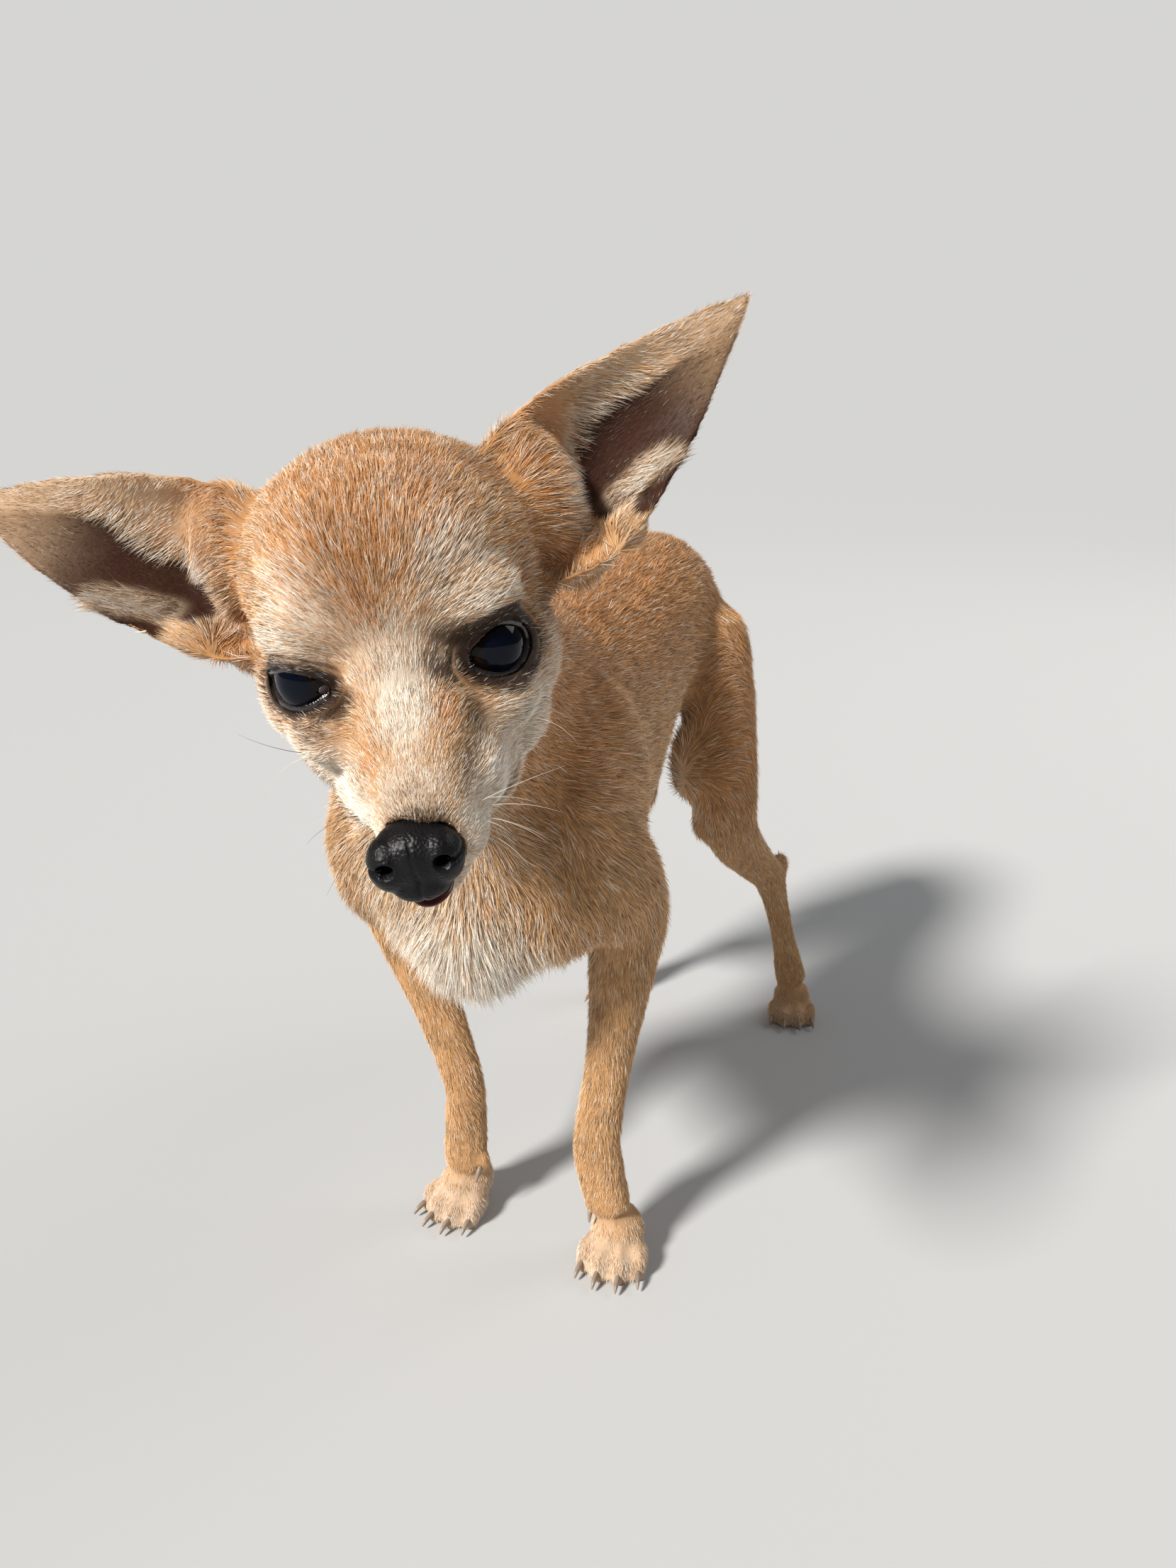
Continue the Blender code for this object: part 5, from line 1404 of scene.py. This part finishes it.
@dataclass
class Claws:
    """All the claws, rounded from the CAD nodes."""

    def build(self) -> bpy.types.Object:
        """Joins the claw nodes into one smooth piece and returns it."""
        names = tuple(sorted(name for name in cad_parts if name.startswith("claw")))
        bm = bmesh.new()
        for name in names:
            bm.from_mesh(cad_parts[name].data)
        bmesh.ops.remove_doubles(bm, verts=bm.verts, dist=1e-6)
        mesh = bpy.data.meshes.new("claws")
        bm.to_mesh(mesh)
        bm.free()
        shade_smooth(mesh)
        finish = PlainFinish("claw", (0.42, 0.33, 0.25), (0.16, 0.11, 0.08), 0.35, 300.0).build()
        obj = new_piece("claws", mesh, finish, names)
        subdivide = obj.modifiers.new("round", "SUBSURF")
        subdivide.levels = subdivide.render_levels = 2
        return obj


@dataclass
class Whiskers:
    """Whiskers on the muzzle, single hairs over the brows and on the cheeks, and short lashes."""

    frames: Frames
    skin: bpy.types.Object
    steps: int = 8
    left: tuple[tuple[tuple[float, float, float], tuple[float, float, float], float, float], ...] = (
        ((0.0135, -0.0290, -0.0210), (1.0, 0.25, 0.20), 0.020, 0.10),
        ((0.0140, -0.0270, -0.0215), (1.0, 0.20, -0.10), 0.013, 0.35),
        ((0.0145, -0.0270, -0.0235), (1.0, 0.00, 0.02), 0.017, 0.35),
        ((0.0145, -0.0290, -0.0250), (1.0, -0.20, -0.15), 0.015, 0.45),
        ((0.0140, -0.0255, -0.0270), (1.0, 0.10, -0.45), 0.016, 0.30),
        ((0.0135, -0.0310, -0.0275), (1.0, -0.35, -0.45), 0.012, 0.50),
        ((0.0140, -0.0290, -0.0300), (1.0, -0.10, -0.80), 0.012, 0.35),
        ((0.0120, -0.0340, -0.0310), (0.8, -0.50, -0.80), 0.009, 0.40),
        ((0.0140, -0.0240, -0.0310), (1.0, 0.20, -0.90), 0.011, 0.20),
    )
    right: tuple[tuple[tuple[float, float, float], tuple[float, float, float], float, float], ...] = (
        ((-0.0172, -0.0130, -0.0265), (-1.0, -0.20, 0.10), 0.012, 0.25),
        ((-0.0150, -0.0220, -0.0240), (-1.0, 0.10, 0.10), 0.014, 0.55),
        ((-0.0140, -0.0250, -0.0250), (-1.0, -0.20, -0.10), 0.013, 0.60),
        ((-0.0135, -0.0270, -0.0275), (-1.0, -0.10, -0.30), 0.018, 0.60),
        ((-0.0135, -0.0290, -0.0240), (-1.0, -0.50, 0.00), 0.010, 0.70),
        ((-0.0130, -0.0300, -0.0280), (-1.0, -0.50, -0.30), 0.012, 0.75),
        ((-0.0120, -0.0320, -0.0300), (-0.9, -0.60, -0.50), 0.010, 0.70),
        ((-0.0130, -0.0270, -0.0305), (-1.0, -0.20, -0.60), 0.014, 0.50),
    )
    pale: list[tuple[Vector, Vector, float, float]] = field(default_factory=list)
    black: list[tuple[Vector, Vector, float, float]] = field(default_factory=list)

    def build(self) -> None:
        """Places every whisker and makes the pale and the dark ones."""
        rng = np.random.default_rng(SEED + 1)
        for side in SIDES.values():
            self._muzzle(rng, side)
            self._single(rng, side)
            self._lashes(rng, side)
        tree = BVHTree.FromObject(self.skin, bpy.context.evaluated_depsgraph_get())
        for name, hairs, finish in (
            ("whiskers", self.pale, PlainFinish("whisker", (0.80, 0.74, 0.64), (0.62, 0.54, 0.44), 0.3)),
            ("dark_whiskers", self.black, PlainFinish("dark_whisker", (0.06, 0.035, 0.025), (0.02, 0.014, 0.012), 0.3)),
        ):
            bm = bmesh.new()
            for start, heading, length, droop in hairs:
                self._hair(bm, tree, start, heading, length, droop)
            bmesh.ops.recalc_face_normals(bm, faces=bm.faces)
            mesh = bpy.data.meshes.new(name)
            bm.to_mesh(mesh)
            bm.free()
            shade_smooth(mesh)
            new_piece(name, mesh, finish.build())

    def _muzzle(self, rng: np.random.Generator, side: int) -> None:
        """The whiskers on the lip beside the nose, as they show, with a few short ones between them."""
        for place, heading, length, droop in self.left if side > 0 else self.right:
            kept = self.black if side < 0 and rng.random() < 0.45 else self.pale
            kept.append((Vector(place), Vector(heading), length, droop))
        for _ in range(7):
            place = Vector((side * 0.0135, -0.0290, -0.0270)) + Vector(rng.normal(size=3) * (0.0006, 0.0040, 0.0030))
            heading = Vector((side, -0.3, -0.4)) + Vector(rng.normal(size=3)) * 0.30
            self.pale.append((place, heading, 0.005 + 0.004 * rng.random(), rng.uniform(0.2, 0.7)))

    def _single(self, rng: np.random.Generator, side: int) -> None:
        """A few long hairs over the eye, on the cheek and under the chin."""
        brow = Vector((side * 0.0260, -0.001, 0.0100))
        cheek = Vector((side * 0.0252, -0.0062, -0.0149))
        chin = Vector((side * 0.005, -0.020, -0.042))
        for _ in range(3):
            jitter = Vector(rng.normal(size=3)) * 0.0018
            self.pale.append((brow + jitter, Vector((side * 0.5, -0.2, 0.8)), 0.006 + 0.003 * rng.random(), 0.2))
        self.black.append((cheek, Vector((side * 1.0, 0.0, 0.30)), 0.015, -0.25))
        self.pale.append((cheek + Vector((0, 0.001, -0.002)), Vector((side * 1.0, 0.0, 0.1)), 0.015, 0.9))
        for _ in range(4):
            jitter = Vector(rng.normal(size=3)) * 0.002
            self.pale.append((chin + jitter, Vector((side * 0.4, -0.5, -0.8)), 0.006 + 0.004 * rng.random(), 0.1))

    def _lashes(self, rng: np.random.Generator, side: int) -> None:
        """Short lashes along the upper lid."""
        for i in range(16):
            angle = math.radians(25 + 8.5 * i)
            start = eye_frame(side) @ LIDS[side].on_eye(angle, 0.0008, 0.0011)
            out = eye_frame(side).to_3x3() @ Vector((math.cos(angle) * 0.6 + rng.normal() * 0.15, 0.55, 1.0))
            self.black.append((start, out, 0.0022 + 0.001 * rng.random(), -0.5))

    def _hair(self, bm: bmesh.types.BMesh, tree: BVHTree, start: Vector, heading: Vector, length: float, droop: float) -> None:
        """One tapered hair that starts in the skin and bends under its own weight.

        Args:
            bm: The mesh that it is added to.
            tree: The skin, to root it in.
            start: Where it starts, in the head's frame.
            heading: Where it points at first, in the head's frame.
            length: Its length in metres.
            droop: How far it bends, as a share of its length.
        """
        root = self.frames.head @ start
        found = tree.find_nearest(root)[0]
        point = found.copy()
        way = (self.frames.head.to_3x3() @ heading).normalized()
        path, radii = [point - way * 0.0008], []
        for step in range(self.steps):
            way = (way + Vector((0, 0, -1)) * droop / self.steps * 1.6).normalized()
            point = point + way * length / self.steps
            path.append(point)
        thick = 0.000085 if length > 0.006 else 0.00004
        radii = [thick * (1 - 0.85 * i / self.steps) for i in range(self.steps + 1)]
        sweep(bm, path, radii, 4)


# Floor, light and camera


@dataclass
class Studio:
    """A plain pale floor, soft light from the photograph's side, and its camera."""

    frames: Frames
    camera_place: Vector = field(default_factory=lambda: Vector((0.1673, -0.3315, 0.300)))
    forward: Vector = field(default_factory=lambda: Vector((-0.3563, 0.8818, -0.3090)))
    focal_pixels: float = 1600.0
    picture_height: float = 2212.0
    sensor: float = 36.0
    floor_size: float = 40.0
    floor_grey: float = 0.50
    sun: tuple[float, float, float] = (-0.33, -0.68, 0.63)
    sun_strength: float = 5.3
    sun_colour: tuple[float, float, float] = (1.0, 0.98, 0.94)
    sun_width: float = math.radians(11)
    sky: tuple[float, float, float] = (0.92, 0.96, 1.0)
    sky_strength: float = 0.28
    mirrored_sky: float = 0.10

    def build(self) -> None:
        """Makes the floor, the world, the lamps and the camera."""
        bpy.context.scene.view_settings.view_transform = "Standard"
        self._floor()
        self._world()
        self._sun()
        target = Vector((0.02, -0.05, 0.2)) + self.frames.shift
        self._lamp("back", target + Vector((0.9, 0.9, 1.0)) * 1.4, target, 1.0, 9.0, (1.0, 0.98, 0.95))
        self._camera()

    def _floor(self) -> None:
        """A large pale sheet that the paws stand on."""
        bm = bmesh.new()
        bmesh.ops.create_grid(bm, x_segments=1, y_segments=1, size=self.floor_size)
        mesh = bpy.data.meshes.new("floor")
        bm.to_mesh(mesh)
        bm.free()
        floor = bpy.data.objects.new("floor", mesh)
        bpy.context.scene.collection.objects.link(floor)
        finish = bpy.data.materials.new("floor")
        finish.use_nodes = True
        shader = finish.node_tree.nodes["Principled BSDF"]
        shader.inputs["Base Color"].default_value = (self.floor_grey, self.floor_grey, self.floor_grey, 1.0)
        shader.inputs["Roughness"].default_value = 1.0
        shader.inputs["Specular IOR Level"].default_value = 0.0
        mesh.materials.append(finish)

    def _far_floor(self) -> tuple[float, float, float]:
        """The colour of the lit floor far away, which the surround takes so that no line parts them."""
        lit = self.sun_strength * Vector(self.sun).normalized().z / math.pi
        return tuple(self.floor_grey * (lit * sun + self.sky_strength * sky) for sun, sky in zip(self.sun_colour, self.sky))

    def _world(self) -> None:
        """An even pale surround, dimmer where the wet eyes and nose mirror it."""
        world = bpy.data.worlds.new("surround")
        bpy.context.scene.world = world
        world.use_nodes = True
        nodes = Nodes(world.node_tree)
        rays = nodes.add("ShaderNodeLightPath")
        light = world.node_tree.nodes["Background"]
        mirror, seen = (nodes.add("ShaderNodeBackground") for _ in range(2))
        values = ((light, self.sky, self.sky_strength), (mirror, self.sky, self.mirrored_sky), (seen, self._far_floor(), 1.0))
        for node, colour, strength in values:
            node.inputs[0].default_value = (*colour, 1.0)
            node.inputs[1].default_value = strength
        shown = light.outputs[0]
        for ray, node in (("Is Glossy Ray", mirror), ("Is Camera Ray", seen)):
            mixed = nodes.add("ShaderNodeMixShader")
            nodes.link(rays.outputs[ray], mixed, 0)
            nodes.link(shown, mixed, 1)
            nodes.link(node.outputs[0], mixed, 2)
            shown = mixed.outputs[0]
        nodes.link(shown, world.node_tree.nodes["World Output"], 0)

    def _sun(self) -> None:
        """The key light, soft-edged, from the photograph's side."""
        light = bpy.data.lights.new("key", "SUN")
        light.energy = self.sun_strength
        light.angle = self.sun_width
        light.color = self.sun_colour
        lamp = bpy.data.objects.new("key", light)
        bpy.context.scene.collection.objects.link(lamp)
        lamp.rotation_mode = "QUATERNION"
        lamp.rotation_quaternion = (-Vector(self.sun)).to_track_quat("-Z", "Y")

    def _lamp(self, name: str, place: Vector, target: Vector, size: float, power: float, colour: tuple[float, float, float]) -> None:
        """A square soft lamp aimed at the dog."""
        light = bpy.data.lights.new(name, "AREA")
        light.energy = power
        light.size = size
        light.color = colour
        lamp = bpy.data.objects.new(name, light)
        bpy.context.scene.collection.objects.link(lamp)
        lamp.location = place
        lamp.rotation_mode = "QUATERNION"
        lamp.rotation_quaternion = (target - place).to_track_quat("-Z", "Y")

    def _camera(self) -> None:
        """The photograph's camera, placed by the dog's own frame."""
        data = bpy.data.cameras.new("camera")
        data.sensor_width = self.sensor
        data.lens = self.focal_pixels / self.picture_height * self.sensor
        data.clip_start = 0.01
        camera = bpy.data.objects.new("camera", data)
        bpy.context.scene.collection.objects.link(camera)
        camera.location = self.camera_place + self.frames.shift
        camera.rotation_mode = "QUATERNION"
        camera.rotation_quaternion = self.forward.to_track_quat("-Z", "Y")
        bpy.context.scene.camera = camera


def main() -> None:
    """Builds the dog and the studio."""
    logging.basicConfig(level=logging.INFO, format="%(name)s: %(message)s")
    frames = Frames.read()
    skin = Skin(frames).build()
    Coat(frames, skin, 0.97).build()
    Eyes(frames).build()
    Nose(frames).build()
    Mouth(frames).build()
    Claws().build()
    Whiskers(frames, skin).build()
    Studio(frames).build()


if __name__ == "__main__":
    main()
